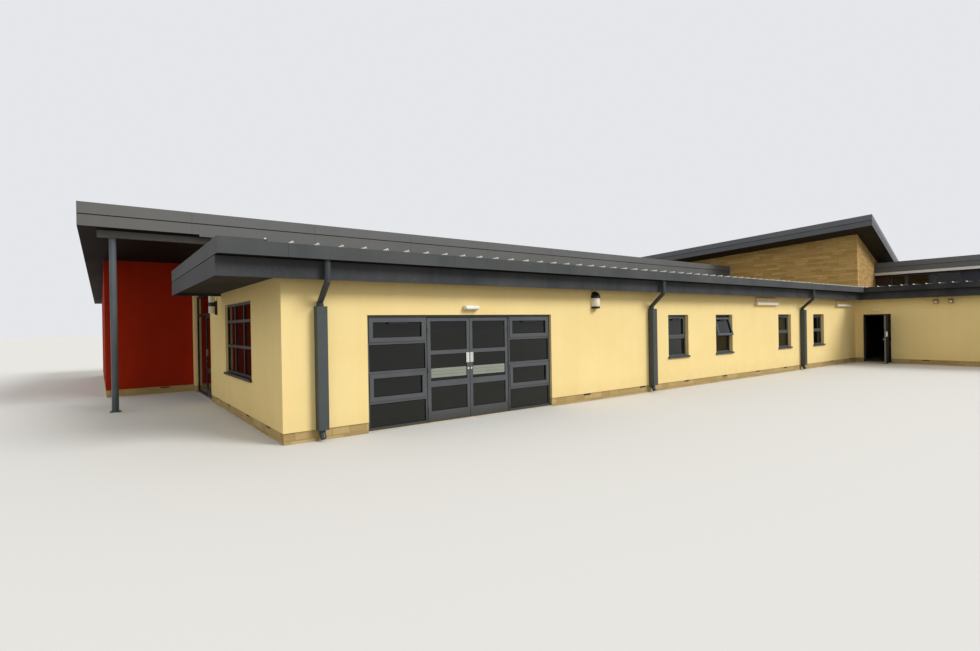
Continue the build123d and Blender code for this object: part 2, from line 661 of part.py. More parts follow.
def windows():
    """Every window of the walls: frames, opening lights, glass and sills."""
    half = WINDOW_WIDTH / 2
    spots = [(x + half, 0, 0) for x in FRONT_WINDOWS]
    plain = [(x + half, REAR, 180) for x in REAR_WINDOWS]
    plain += [(WING_RIGHT, y + half, 90) for y in WING_WINDOWS]
    frames, glass = clerestory_glazing()
    lights = []
    sills = []
    for number, spot in enumerate(spots + plain):
        frame, sashes, panes = window(spot in spots)
        if number == OPEN_WINDOW:
            swing = opened()
            sashes[0] = swing * sashes[0]
            panes[1] = swing * panes[1]
        frames.append(stand(frame, *spot))
        lights += [stand(sash, *spot) for sash in sashes]
        glass += [stand(pane, *spot) for pane in panes]
        sills.append(stand(window_sill(WINDOW_WIDTH, WINDOW_SILL, WINDOW_SET_BACK), *spot))
    frame, panes, sill = wide_side_window()
    frames.append(frame)
    glass += panes
    sills.append(sill)
    save(together(frames), "window_frames")
    save(together(glass), "window_glass")
    save(together(sills), "window_sills")
    return lights


def opened():
    """Movement of the one top-hung light that stands open."""
    hinge_y = WINDOW_SET_BACK - SASH_OUT
    hinge_z = WINDOW_HEAD - WINDOW_FACE
    turn = Pos(0, hinge_y, hinge_z) * Rot(-OPEN_ANGLE, 0, 0) * Pos(0, -hinge_y, -hinge_z)
    return Pos(0, 0, -OPEN_DROP) * turn


def wide_side_window():
    """Window of the side wall: three rows of fixed lights between two mullions."""
    width = SIDE_WINDOW[1] - SIDE_WINDOW[0]
    spot = (0, (SIDE_WINDOW[0] + SIDE_WINDOW[1]) / 2, -90)
    post = WINDOW_FACE / 2
    y0 = SIDE_WINDOW_SET_BACK
    y1 = y0 + FRAME_DEPTH
    middle = (y0 + y1) / 2
    frame = ring(-width / 2, width / 2, y0, y1, SIDE_WINDOW_SILL, SIDE_WINDOW_HEAD, WINDOW_FACE)
    for x in (-width / 6, width / 6):
        frame += block(x - post, x + post, y0, y1, SIDE_WINDOW_SILL, SIDE_WINDOW_HEAD)
    for z in SIDE_TRANSOMS:
        frame += block(-width / 2, width / 2, y0, y1, z - post, z + post)
    sheet = block(-width / 2, width / 2, middle - GLASS / 2, middle + GLASS / 2, SIDE_WINDOW_SILL,
                  SIDE_WINDOW_HEAD)
    panes = [stand(pane, *spot) for pane in (sheet - frame).solids()]
    sill = window_sill(width, SIDE_WINDOW_SILL, SIDE_WINDOW_SET_BACK)
    return stand(frame, *spot), panes, stand(sill, *spot)


def clerestory_glazing():
    """Mullioned strips of glass over the wing roof and the flat panels beside them."""
    bars = []
    panes = []
    x0 = CLERESTORY_X + FRAME_SET_BACK
    x1 = x0 + FRAME_DEPTH
    middle = (x0 + x1) / 2
    half = CLERESTORY_MULLION / 2
    for bay in CLERESTORY_BAYS:
        outer = block(x0, x1, bay[0], bay[-1], CLERESTORY_SILL, CLERESTORY_HEAD)
        for near, far in zip(bay, bay[1:]):
            hole = block(x0 - half, x1 + half, near + half, far - half, CLERESTORY_SILL + half,
                         CLERESTORY_HEAD - half)
            outer -= hole
            panes.append(hole & block(middle - GLASS / 2, middle + GLASS / 2, near, far, 0, HIGH))
        bars.append(outer)
    panels = []
    for near, far in CLERESTORY_PANELS:
        panels.append(block(CLERESTORY_X - CLERESTORY_PANEL, CLERESTORY_X, near, far, CLERESTORY_SILL,
                            CLERESTORY_HEAD) - hall_mass())
    save(together(panels), "clerestory_panels")
    return bars, panes


def door_screen():
    """Fixed frame of the front door screen with its side lights."""
    y0 = FRAME_SET_BACK
    y1 = y0 + FRAME_DEPTH
    frame = ring(SCREEN_LEFT, SCREEN_RIGHT, y0, y1, FLOOR_TOP, DOOR_HEAD, FRAME_FACE)
    frame += block(SCREEN_DOORS_LEFT - FRAME_FACE, SCREEN_DOORS_LEFT, y0, y1, FLOOR_TOP, DOOR_HEAD)
    frame += block(SCREEN_DOORS_RIGHT, SCREEN_DOORS_RIGHT + FRAME_FACE, y0, y1, FLOOR_TOP, DOOR_HEAD)
    frame -= block(SCREEN_DOORS_LEFT, SCREEN_DOORS_RIGHT, y0 - FRAME_FACE, y1 + FRAME_FACE, 0,
                   FLOOR_TOP + FRAME_FACE)
    sashes = []
    panes = []
    sides = ((SCREEN_LEFT + FRAME_FACE, SCREEN_DOORS_LEFT - FRAME_FACE),
             (SCREEN_DOORS_RIGHT + FRAME_FACE, SCREEN_RIGHT - FRAME_FACE))
    half = TRANSOM_FACE / 2
    for x0, x1 in sides:
        edges = [FLOOR_TOP + FRAME_FACE]
        for z in SCREEN_TRANSOMS:
            frame += block(x0, x1, y0, y1, z - half, z + half)
            edges += [z - half, z + half]
        edges.append(DOOR_HEAD - FRAME_FACE)
        for row in range(len(edges) // 2):
            z0 = edges[2 * row]
            z1 = edges[2 * row + 1]
            stile, rail = (0, 0)
            if row % 2:
                stile, rail = SCREEN_SASH
                sashes.append(sash(x0, x1, y0, y1, z0, z1, SCREEN_SASH))
            middle = (y0 + y1) / 2
            panes.append(block(x0 + stile, x1 - stile, middle - GLASS / 2, middle + GLASS / 2,
                               z0 + rail, z1 - rail))
    save(frame, "screen_frame")
    return sashes, panes


def thresholds():
    """Level door sills in the thickness of the walls."""
    edge = PLINTH_SET_BACK
    outer = FRONT_LENGTH
    front = block(SCREEN_LEFT, SCREEN_RIGHT, edge, WALL, 0, FLOOR_TOP)
    entrance = block(edge, WALL, ENTRANCE_NEAR, ENTRANCE_FAR, 0, FLOOR_TOP)
    wing = block(outer + edge, outer + WALL, WING_DOOR_NEAR, WING_DOOR_FAR, 0, FLOOR_TOP)
    hall = hall_run((0, WALL), (HALL_DOOR_NEAR, HALL_DOOR_NEAR + HALL_DOOR_WIDTH), 0, FLOOR_TOP)
    save(together([front, entrance, wing, hall]), "thresholds")


def door_leaf(width, top, rails):
    """Leaf hung on its left edge, drawn from the corner of its jamb on the outer face."""
    x0 = LEAF_GAP
    x1 = x0 + width
    y0 = LEAF_GAP
    y1 = y0 + LEAF
    bottom = FLOOR_TOP + SWING_GAP
    leaf = block(x0, x1, y0, y1, bottom, top)
    panes = []
    if not rails:
        return leaf, panes
    edges = [bottom + KICK_RAIL]
    for low, high in rails:
        edges += [low, high]
    edges.append(top - TOP_RAIL)
    middle = (y0 + y1) / 2
    for z0, z1 in zip(edges[::2], edges[1::2]):
        leaf -= block(x0 + STILE, x1 - STILE, 0, 2 * LEAF, z0, z1)
        panes.append(block(x0 + STILE, x1 - STILE, middle - GLASS / 2, middle + GLASS / 2, z0, z1))
    return leaf, panes


def knuckle(x0, x1, z0, z1):
    """One wing of a butt hinge with its share of the barrel."""
    barrel = Pos(HINGE_X, -HINGE_OUT, (z0 + z1) / 2) * Cylinder(HINGE_RADIUS, z1 - z0)
    return barrel + block(x0, x1, -HINGE_OUT, HINGE_WING, z0, z1)


def hinge_sides(top):
    """Frame's and leaf's share of the three hinges of a door."""
    half = HINGE_LENGTH / 2
    third = HINGE_LENGTH / 6
    play = HINGE_PLAY
    frame_side = []
    leaf_side = []
    for z in (HINGE_LOW, top / 2, top - HINGE_LOW):
        frame_side.append(knuckle(0, HINGE_X - play, z - half, z - third - play))
        frame_side.append(knuckle(0, HINGE_X - play, z + third + play, z + half))
        leaf_side.append(knuckle(HINGE_X + play, LEAF_GAP, z - third, z + third))
    return frame_side, leaf_side


def pull_plate(width):
    """Pull plate and lock on the outer face of a leaf, near its free edge."""
    right = LEAF_GAP + width
    plate = block(right - PLATE_WIDTH - LEAF_GAP, right - LEAF_GAP, LEAF_GAP - PLATE_THICK, LEAF_GAP,
                  PLATE_BOTTOM, PLATE_BOTTOM + PLATE_HEIGHT)
    face = Plane(origin=(right - STILE / 2, LEAF_GAP, LOCK_HEIGHT), z_dir=(0, -1, 0))
    return [plate, extrude(face * Circle(LOCK_RADIUS), amount=PLATE_THICK)]


def hung(shape, jamb, turned, mirrored, swing):
    """Bring a piece of a door from its drawing position to its doorway."""
    pin = Pos(HINGE_X, -HINGE_OUT, 0)
    back = Pos(-HINGE_X, HINGE_OUT, 0)
    moved = pin * Rot(0, 0, -swing) * back * shape
    if mirrored:
        moved = mirror(moved, Plane.YZ)
    return Pos(*jamb, 0) * Rot(0, 0, turned) * moved


def doors():
    """The four leaves on their hinges: name, width, head, rails, jamb, facing and rest swing."""
    screen_width = (SCREEN_DOORS_RIGHT - SCREEN_DOORS_LEFT - MEETING_GAP) / 2 - LEAF_GAP
    screen_top = DOOR_HEAD - FRAME_FACE - LEAF_GAP
    entrance_top = ENTRANCE_TRANSOM - FRAME_FACE / 2 - LEAF_GAP
    wing_width = WING_DOOR_FAR - WING_DOOR_NEAR - 2 * FRAME_FACE - 2 * LEAF_GAP
    wing_top = WING_DOOR_HEAD - FRAME_FACE - LEAF_GAP
    wing_jamb = (FRONT_LENGTH + FRAME_SET_BACK, WING_DOOR_NEAR + FRAME_FACE)
    left = (SCREEN_DOORS_LEFT, FRAME_SET_BACK)
    right = (SCREEN_DOORS_RIGHT, FRAME_SET_BACK)
    side = (FRAME_SET_BACK, ENTRANCE_NEAR + FRAME_FACE)
    leaves = (("left_screen_door", screen_width, screen_top, MID_RAILS, left, 0, False, 0),
              ("right_screen_door", screen_width, screen_top, MID_RAILS, right, 0, True, 0),
              ("entrance_door", ENTRANCE_LEAF, entrance_top, MID_RAILS[:1], side, -90, True, 0),
              ("wing_door", wing_width, wing_top, (), wing_jamb, -90, True, WING_DOOR_SWING))
    fixed = []
    for name, width, top, rails, jamb, turned, mirrored, swing in leaves:
        leaf, panes = door_leaf(width, top, rails)
        frame_side, leaf_side = hinge_sides(top)
        place = (jamb, turned, mirrored, swing)
        save(hung(leaf, *place), name)
        if panes:
            save(together([hung(pane, *place) for pane in panes]), name + "_glass")
        save(together([hung(piece, *place) for piece in leaf_side + pull_plate(width)]), name + "_fittings")
        fixed += [hung(piece, jamb, turned, mirrored, 0) for piece in frame_side]
    save(together(fixed), "frame_hinges")


def entrance_frame():
    """Frame of the entrance with its side light and the panel over it."""
    x0 = FRAME_SET_BACK
    x1 = x0 + FRAME_DEPTH
    near = ENTRANCE_NEAR + FRAME_FACE
    far = ENTRANCE_FAR - FRAME_FACE
    post = near + ENTRANCE_LEAF + 2 * LEAF_GAP
    half = FRAME_FACE / 2
    frame = block(x0, x1, ENTRANCE_NEAR, ENTRANCE_FAR, FLOOR_TOP, ENTRANCE_HEAD)
    top_z = ENTRANCE_TRANSOM + half
    low_z = ENTRANCE_TRANSOM - half
    middle = (x0 + x1) / 2
    panes = []
    top = block(x0 - half, x1 + half, near, far, top_z, ENTRANCE_HEAD - FRAME_FACE)
    side = block(x0 - half, x1 + half, post + FRAME_FACE, far, FLOOR_TOP + FRAME_FACE, low_z)
    frame -= block(x0 - half, x1 + half, near, post, 0, low_z)
    for hole in (top, side):
        frame -= hole
        panes.append(hole & block(middle - GLASS / 2, middle + GLASS / 2, near, far, 0, HIGH))
    return frame, panes


def wing_door_frame():
    """Frame of the staff door in the wing wall, open down to the threshold."""
    outer = FRONT_LENGTH + FRAME_SET_BACK
    near = WING_DOOR_NEAR + FRAME_FACE
    far = WING_DOOR_FAR - FRAME_FACE
    frame = block(outer, outer + FRAME_DEPTH, WING_DOOR_NEAR, WING_DOOR_FAR, FLOOR_TOP, WING_DOOR_HEAD)
    return frame - block(outer - LEAF, outer + 2 * FRAME_DEPTH, near, far, 0, WING_DOOR_HEAD - FRAME_FACE)


def side_lamp():
    """Round lamp that shines up and down, on an arm from its box on the side wall."""
    z0, z1 = SIDE_LAMP_Z
    barrel = Pos(-SIDE_LAMP_OUT, SIDE_LAMP_Y, (z0 + z1) / 2) * Cylinder(SIDE_LAMP_RADIUS, z1 - z0)
    depth, low, high = SIDE_LAMP_BOX
    y0 = SIDE_LAMP_Y - depth
    y1 = SIDE_LAMP_Y + depth
    arm = block(-SIDE_LAMP_OUT, 0, y0, y1, *SIDE_LAMP_ARM_Z)
    return barrel + arm + block(-depth, 0, y0, y1, low, high)


def lamps():
    """Wall lamps along the front, by the entrance and over the wing door."""
    shapes = []
    for x0, x1, z0, z1 in STRIP_LAMPS:
        shapes.append(block(x0, x1, -LAMP_DEPTH, 0, z0, z1))
    x0, x1, z0, z1 = OVAL_LAMP
    half = (z1 - z0) / 2
    wall_face = Plane(origin=((x0 + x1) / 2, 0, z0 + half), x_dir=(1, 0, 0), z_dir=(0, -1, 0))
    oval = wall_face * SlotOverall(x1 - x0, 2 * half)
    shapes.append(extrude(oval, amount=LAMP_DEPTH))
    x0, x1, z0, z1 = WALL_LANTERN
    shapes.append(block(x0, x1, -LANTERN_DEPTH, 0, z0, z1))
    shapes.append(side_lamp())
    y0, y1, z0, z1 = WING_LAMP
    shapes.append(block(FRONT_LENGTH - LAMP_DEPTH, FRONT_LENGTH, y0, y1, z0, z1))
    half = FLOODLIGHT_SIZE / 2
    for y in FLOODLIGHTS:
        head = Box(FLOODLIGHT_BODY, FLOODLIGHT_SIZE, FLOODLIGHT_SIZE)
        head = Pos(FRONT_LENGTH - FLOODLIGHT_OUT, y, FLOODLIGHT_Z) * Rot(0, -FLOODLIGHT_TILT, 0) * head
        shapes.append(head + block(FRONT_LENGTH - FLOODLIGHT_OUT, FRONT_LENGTH, y - half / 2, y + half / 2,
                                   FLOODLIGHT_Z - half / 4, FLOODLIGHT_Z + half / 4))
    save(together(shapes), "wall_lamps")


def main():
    """Write every piece of the building."""
    os.makedirs("parts", exist_ok=True)
    floors()
    thresholds()
    plinths()
    front_walls()
    door_heads()
    side_walls()
    main_walls()
    wing_walls()
    hall_walls()
    low_roofs()
    low_eaves()
    high_roofs()
    porch()
    rainwater()
    screen_lights, screen_panes = door_screen()
    save(together(screen_lights + windows()), "opening_lights")
    entrance, entrance_panes = entrance_frame()
    save(together([entrance, wing_door_frame()]), "door_frames")
    save(together(screen_panes + entrance_panes), "side_light_glass")
    doors()
    lamps()


main()
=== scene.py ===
"""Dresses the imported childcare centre. Lengths are in metres.

Places are given from the outer front left corner of the front wall: x runs along the front,
y runs back into the building and z is up from the ground. at() brings them to the shared frame.
"""
from math import cos, pi, radians, sin

import bmesh
import bpy
from mathutils import Matrix, Vector
from mathutils.bvhtree import BVHTree


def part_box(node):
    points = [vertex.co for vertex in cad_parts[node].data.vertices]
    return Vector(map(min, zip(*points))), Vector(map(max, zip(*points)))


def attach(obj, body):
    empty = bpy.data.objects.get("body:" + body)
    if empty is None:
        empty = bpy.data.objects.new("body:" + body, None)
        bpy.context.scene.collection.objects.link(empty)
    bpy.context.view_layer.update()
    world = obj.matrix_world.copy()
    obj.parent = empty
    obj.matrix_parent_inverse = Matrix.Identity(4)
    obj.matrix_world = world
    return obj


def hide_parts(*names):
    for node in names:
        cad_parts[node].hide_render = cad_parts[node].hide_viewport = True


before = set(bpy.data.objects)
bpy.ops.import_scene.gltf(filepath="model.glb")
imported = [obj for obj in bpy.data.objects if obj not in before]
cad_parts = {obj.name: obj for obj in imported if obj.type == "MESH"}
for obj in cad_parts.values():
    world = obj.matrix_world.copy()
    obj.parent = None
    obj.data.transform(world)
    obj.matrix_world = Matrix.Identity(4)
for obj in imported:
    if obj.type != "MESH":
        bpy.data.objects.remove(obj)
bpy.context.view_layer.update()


# Camera, floor and light.
# The building stands on a plain pale floor under a soft sky, with one broad lamp from the front
# right. The camera stands off the left end of the front, at eye height.
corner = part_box("front_wall")[0]


def at(x, y, z):
    """Place in the shared frame of a point given from the front left wall corner."""
    return Vector((corner[0] + x, corner[1] + y, z))


def wire(tree, kind, inputs=None, **settings):
    """Add one node, with its settings, and fill or link its inputs."""
    node = tree.nodes.new(kind)
    for key, value in settings.items():
        setattr(node, key, value)
    for key, value in (inputs or {}).items():
        if isinstance(value, bpy.types.NodeSocket):
            tree.links.new(value, node.inputs[key])
        else:
            node.inputs[key].default_value = value
    return node


def maths(tree, operation, *values):
    """Result of one sum on grey values, each a number or a socket."""
    return wire(tree, "ShaderNodeMath", dict(enumerate(values)), operation=operation).outputs[0]


def axes(tree, place):
    """The three coordinates of a place, each by its letter."""
    return wire(tree, "ShaderNodeSeparateXYZ", {0: place}).outputs


def tone(red, green, blue):
    """Colour as a paint chart gives it, from 0 to 255, turned into linear light."""
    linear = []
    for value in (red, green, blue):
        share = value / 255
        linear.append(share / 12.92 if share <= 0.04045 else ((share + 0.055) / 1.055) ** 2.4)
    return (*linear, 1.0)


def blank(name, roughness, metallic=0.0, gloss=0.5):
    """New material: its node tree, its shader and its place on the object."""
    material = bpy.data.materials.new(name)
    material.use_nodes = True
    tree = material.node_tree
    shader = tree.nodes["Principled BSDF"]
    shader.inputs["Roughness"].default_value = roughness
    shader.inputs["Metallic"].default_value = metallic
    shader.inputs["Specular IOR Level"].default_value = gloss
    place = wire(tree, "ShaderNodeTexCoord").outputs["Object"]
    return material, tree, shader, place


def shown_rays(tree):
    """One for rays that show the floor and the backdrop as they are, nought for rays of light."""
    paths = wire(tree, "ShaderNodeLightPath").outputs
    shown = maths(tree, "MAXIMUM", paths["Is Camera Ray"], paths["Is Glossy Ray"])
    return maths(tree, "MAXIMUM", shown, paths["Is Transmission Ray"])


camera_data = bpy.data.cameras.new("camera")
camera_data.lens = 19.27
camera_data.sensor_width = 36.0
camera_data.clip_end = 500.0
camera = bpy.data.objects.new("camera", camera_data)
camera.location = at(-2.351, -8.704, 1.887)
camera.rotation_euler = (radians(89.870), radians(0.960), radians(-36.832))
bpy.context.scene.collection.objects.link(camera)
bpy.context.scene.camera = camera
bpy.context.scene.view_settings.view_transform = "Standard"

lamp_data = bpy.data.lights.new("broad_lamp", "SUN")
lamp_data.energy = 2.17
lamp_data.angle = radians(24)
lamp = bpy.data.objects.new("broad_lamp", lamp_data)
lamp.rotation_euler = Vector((0.42, -0.68, 0.60)).to_track_quat("Z", "Y").to_euler()
bpy.context.scene.collection.objects.link(lamp)

world = bpy.data.worlds.new("pale_studio")
world.use_nodes = True
bpy.context.scene.world = world
tree = world.node_tree
tree.nodes.clear()
sky_light = wire(tree, "ShaderNodeBackground", {"Color": (1.0, 0.985, 0.95, 1.0), "Strength": 0.80})
backdrop = wire(tree, "ShaderNodeBackground", {"Color": tone(229, 231, 234), "Strength": 1.0})
mixed = wire(tree, "ShaderNodeMixShader", {0: shown_rays(tree), 1: sky_light.outputs[0],
                                           2: backdrop.outputs[0]})
wire(tree, "ShaderNodeOutputWorld", {"Surface": mixed.outputs[0]})

floor_mesh = bpy.data.meshes.new("studio_floor")
reach = 220.0
floor_corners = [(-reach, -reach, 0), (reach, -reach, 0), (reach, reach, 0), (-reach, reach, 0)]
floor_mesh.from_pydata(floor_corners, [], [(0, 1, 2, 3)])
studio_floor = bpy.data.objects.new("studio_floor", floor_mesh)
studio_floor.location = (0, 0, -0.002)
bpy.context.scene.collection.objects.link(studio_floor)
material, tree, shader, place = blank("pale_floor", 0.9, gloss=0.2)
shader.inputs["Base Color"].default_value = tone(214, 213, 210)
low_bounce = wire(tree, "ShaderNodeBsdfDiffuse", {"Color": tone(150, 146, 138)})
mixed = wire(tree, "ShaderNodeMixShader", {0: shown_rays(tree), 1: low_bounce.outputs[0],
                                           2: shader.outputs[0]})
tree.links.new(mixed.outputs[0], tree.nodes["Material Output"].inputs["Surface"])
floor_mesh.materials.append(material)


# Ground floor slabs and door sills.
# Power-floated concrete slabs in each part of the plan, level through the doorways.
# The sill of each doorway is a paler precast strip set in the thickness of the wall.
def new_group(name, kind, inputs, outputs):
    """Empty group of nodes: its inputs and outputs, named with their kinds, and what it is given."""
    group = bpy.data.node_groups.new(name, kind + "NodeTree")
    for way, sockets in (("INPUT", inputs), ("OUTPUT", outputs)):
        for label, socket in sockets.items():
            group.interface.new_socket(label, in_out=way, socket_type="NodeSocket" + socket)
    return group, wire(group, "NodeGroupInput").outputs


def noise(tree, place, scale, detail, roughness=0.5):
    """Soft noise over a surface, from 0 to 1."""
    return wire(tree, "ShaderNodeTexNoise", {"Vector": place, "Scale": scale, "Detail": detail,
                                             "Roughness": roughness}).outputs["Fac"]


def weathering_group():
    """Uneven grain, soft patches and rain streaks of an outdoor surface."""
    group, given = new_group("weathering", "Shader",
                             {"Vector": "Vector", "Grain Scale": "Float", "Patch Scale": "Float",
                              "Streaks": "Float"}, {"Shade": "Float", "Height": "Float"})
    grain = noise(group, given["Vector"], given["Grain Scale"], 3.0, 0.6)
    patch = noise(group, given["Vector"], given["Patch Scale"], 4.0, 0.55)
    tall = wire(group, "ShaderNodeMapping", {"Vector": given["Vector"], "Scale": (2.6, 2.6, 0.12)})
    streak = noise(group, tall.outputs[0], 2.0, 5.0, 0.6)
    streak = maths(group, "SUBTRACT", streak, 0.5)
    streak = maths(group, "MULTIPLY", streak, given["Streaks"])
    shade = maths(group, "MULTIPLY_ADD", grain, 0.35, streak)
    shade = maths(group, "MULTIPLY_ADD", patch, 0.65, shade)
    wire(group, "NodeGroupOutput", {"Shade": shade, "Height": grain})
    return group


weathering = weathering_group()


def worn(tree, place, grain, patch, streaks):
    """Outputs of the weathering, laid over a surface at its own scales."""
    return wire(tree, "ShaderNodeGroup", {"Vector": place, "Grain Scale": grain, "Patch Scale": patch,
                                          "Streaks": streaks}, node_tree=weathering).outputs


def blend_tones(tree, share, first, second):
    """Colour between two, each a chart tone or a socket, by a share that changes over the surface."""
    colours = [value if isinstance(value, bpy.types.NodeSocket) else tone(*value)
               for value in (first, second)]
    return wire(tree, "ShaderNodeMix", {0: share, 6: colours[0], 7: colours[1]},
                data_type="RGBA").outputs[2]


def spread(tree, value, low, high, first=0.0, last=1.0):
    """Stretch a grey value so that low becomes the first number and high the last."""
    return wire(tree, "ShaderNodeMapRange", {"Value": value, "From Min": low, "From Max": high,
                                             "To Min": first, "To Max": last}).outputs[0]


def relief(tree, shader, height, distance, strength=1.0):
    """Bump of a real depth, in metres."""
    bump = wire(tree, "ShaderNodeBump", {"Height": height, "Distance": distance, "Strength": strength})
    tree.links.new(bump.outputs[0], shader.inputs["Normal"])


def aged(tree, shader, wear, roughness, depth):
    """Uneven sheen and fine relief that go with the weathering."""
    sheen = spread(tree, wear["Shade"], 0.3, 0.7, min(1.0, roughness + 0.07), roughness - 0.05)
    tree.links.new(sheen, shader.inputs["Roughness"])
    relief(tree, shader, wear["Height"], depth)


def weathered(name, light, dark, roughness, grain, patch, streaks, depth, metallic=0.0, gloss=0.5):
    """Material of one colour that has aged outdoors, in a light and a dark tone.

    The numbers are its roughness, the scales of its grain and patches, the strength of its streaks,
    and the depth of its grain.
    """
    material, tree, shader, place = blank(name, roughness, metallic, gloss)
    wear = worn(tree, place, grain, patch, streaks)
    share = spread(tree, wear["Shade"], 0.28, 0.72)
    tree.links.new(blend_tones(tree, share, dark, light), shader.inputs["Base Color"])
    aged(tree, shader, wear, roughness, depth)
    return material


def finish(material, *nodes):
    """Give CAD nodes their material."""
    for node in nodes:
        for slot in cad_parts[node].material_slots:
            slot.material = material


finish(weathered("floated_concrete", (150, 147, 140), (120, 117, 110), 0.7, 90.0, 1.3, 0.0, 0.001),
       "front_floor", "main_floor", "wing_floor", "hall_floor")
finish(weathered("precast_sill", (214, 206, 186), (184, 175, 154), 0.8, 160.0, 3.0, 0.0, 0.0008),
       "thresholds")


# Stone base course and air slots.
# Split buff stone in low courses with flush mortar, under every rendered wall.
# Black plastic air slots are built into its top joint, about two metres apart.
def coursing_group():
    """Blocks laid in courses: tone of each block, its mortar joints and its rough face."""
    group, given = new_group("coursing", "Shader",
                             {"Vector": "Vector", "Block Length": "Float", "Course Height": "Float",
                              "Joint": "Float", "Face Scale": "Float"},
                             {"Tone": "Float", "Mortar": "Float", "Height": "Float"})
    split = axes(group, given["Vector"])
    along = maths(group, "ADD", split["X"], split["Y"])
    flat = wire(group, "ShaderNodeCombineXYZ", {"X": along, "Y": split["Z"]}).outputs[0]
    brick = wire(group, "ShaderNodeTexBrick", {"Vector": flat, "Color1": (0, 0, 0, 1),
                                               "Color2": (1, 1, 1, 1), "Mortar": (0.5, 0.5, 0.5, 1),
                                               "Scale": 1.0, "Mortar Size": given["Joint"],
                                               "Mortar Smooth": 0.3, "Brick Width": given["Block Length"],
                                               "Row Height": given["Course Height"]},
                 offset=0.5, squash=0.7, squash_frequency=3)
    streaked = wire(group, "ShaderNodeMapping", {"Vector": given["Vector"], "Scale": (0.35, 0.35, 5.0)})
    bedding = noise(group, streaked.outputs[0], 3.0, 5.0)
    rough = noise(group, given["Vector"], given["Face Scale"], 4.0, 0.65)
    value = maths(group, "MULTIPLY", bedding, 0.5)
    value = maths(group, "MULTIPLY_ADD", brick.outputs["Color"], 0.35, value)
    value = maths(group, "MULTIPLY_ADD", rough, 0.3, value)
    height = maths(group, "SUBTRACT", rough, brick.outputs["Fac"])
    wire(group, "NodeGroupOutput", {"Tone": value, "Mortar": brick.outputs["Fac"], "Height": height})
    return group


coursing = coursing_group()


def stone_look(tree, place, stone, turn, lift, block, course, joint):
    """Colour and height of coursed stone: three tones of stone and its mortar, turned with its wall."""
    laid_out = wire(tree, "ShaderNodeMapping", {"Vector": place, "Rotation": (0.0, 0.0, turn),
                                                "Location": (0.0, 0.0, lift)})
    laid = wire(tree, "ShaderNodeGroup", {"Vector": laid_out.outputs[0], "Block Length": block,
                                          "Course Height": course, "Joint": joint,
                                          "Face Scale": 22.0}, node_tree=coursing).outputs
    low = blend_tones(tree, spread(tree, laid["Tone"], 0.30, 0.56), stone[0], stone[1])
    high = blend_tones(tree, spread(tree, laid["Tone"], 0.56, 0.82), low, stone[2])
    return blend_tones(tree, laid["Mortar"], high, stone[3]), laid["Height"]


def stonework(name, depth, *look):
    """Coursed stone of one wall, with relief of a real depth."""
    material, tree, shader, place = blank(name, 0.88, gloss=0.3)
    colour, height = stone_look(tree, place, *look)
    tree.links.new(colour, shader.inputs["Base Color"])
    relief(tree, shader, height, depth)
    return material


base_stone = stonework("buff_base_stone", 0.005, ((164, 138, 90), (182, 155, 102), (196, 171, 117),
                                                  (172, 150, 104)), 0.0, -0.05, 0.44, 0.14, 0.007)
finish(base_stone, "plinths_along_front", "plinths_along_sides")


def piece_from(name, shape, place=None):
    """Named piece from a finished mesh: placed, brought to the shared frame and linked."""
    if place:
        bmesh.ops.transform(shape, matrix=place, verts=shape.verts[:])
    bmesh.ops.translate(shape, vec=(corner[0], corner[1], 0.0), verts=shape.verts[:])
    mesh = bpy.data.meshes.new(name)
    shape.to_mesh(mesh)
    shape.free()
    made = bpy.data.objects.new(name, mesh)
    bpy.context.scene.collection.objects.link(made)
    return made


def soft_boxes(name, boxes, bevel, place=None, segments=2):
    """One mesh of square-cut members with softened edges, each given by two corners."""
    shape = bmesh.new()
    for low, high in boxes:
        made = bmesh.ops.create_cube(shape, size=1.0)
        for vert in made["verts"]:
            vert.co = Vector([low[i] + (vert.co[i] + 0.5) * (high[i] - low[i]) for i in range(3)])
    bmesh.ops.bevel(shape, geom=shape.edges[:], offset=bevel, segments=segments, affect="EDGES",
                    profile=0.6)
    return piece_from(name, shape, place)


def fix(piece, material, body="building"):
    """Give a made piece its material and the body that carries it."""
    piece.data.materials.clear()
    piece.data.materials.append(material)
    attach(piece, body)


half_slot = 0.115
slot_low = 0.150
slot_high = 0.186
slot_boxes = []
for x in (7.07, 9.20, 11.23, 13.29, 15.38, 17.38, 21.47, 23.47):
    slot_boxes.append(((x - half_slot, 0.002, slot_low), (x + half_slot, 0.020, slot_high)))
for y in (0.94, 2.51, 4.34, 5.76):
    slot_boxes.append(((0.002, y - half_slot, slot_low), (0.020, y + half_slot, slot_high)))
slot_boxes.append(((-0.87, 9.658, slot_low), (-0.64, 9.676, slot_high)))
for x in (0.5, 2.6, 4.7, 8.5, 10.6, 13.5, 15.6, 18.4, 20.5):
    slot_boxes.append(((x - half_slot, 18.880, slot_low), (x + half_slot, 18.898, slot_high)))
for y in (-6.6, -4.5, -2.4):
    slot_boxes.append(((23.916, y - half_slot, slot_low), (23.934, y + half_slot, slot_high)))
black_plastic = weathered("black_plastic", (24, 24, 25), (14, 14, 15), 0.5, 300.0, 6.0, 0.0, 0.0002,
                          gloss=0.3)
fix(soft_boxes("air_slots", slot_boxes, 0.003), black_plastic)


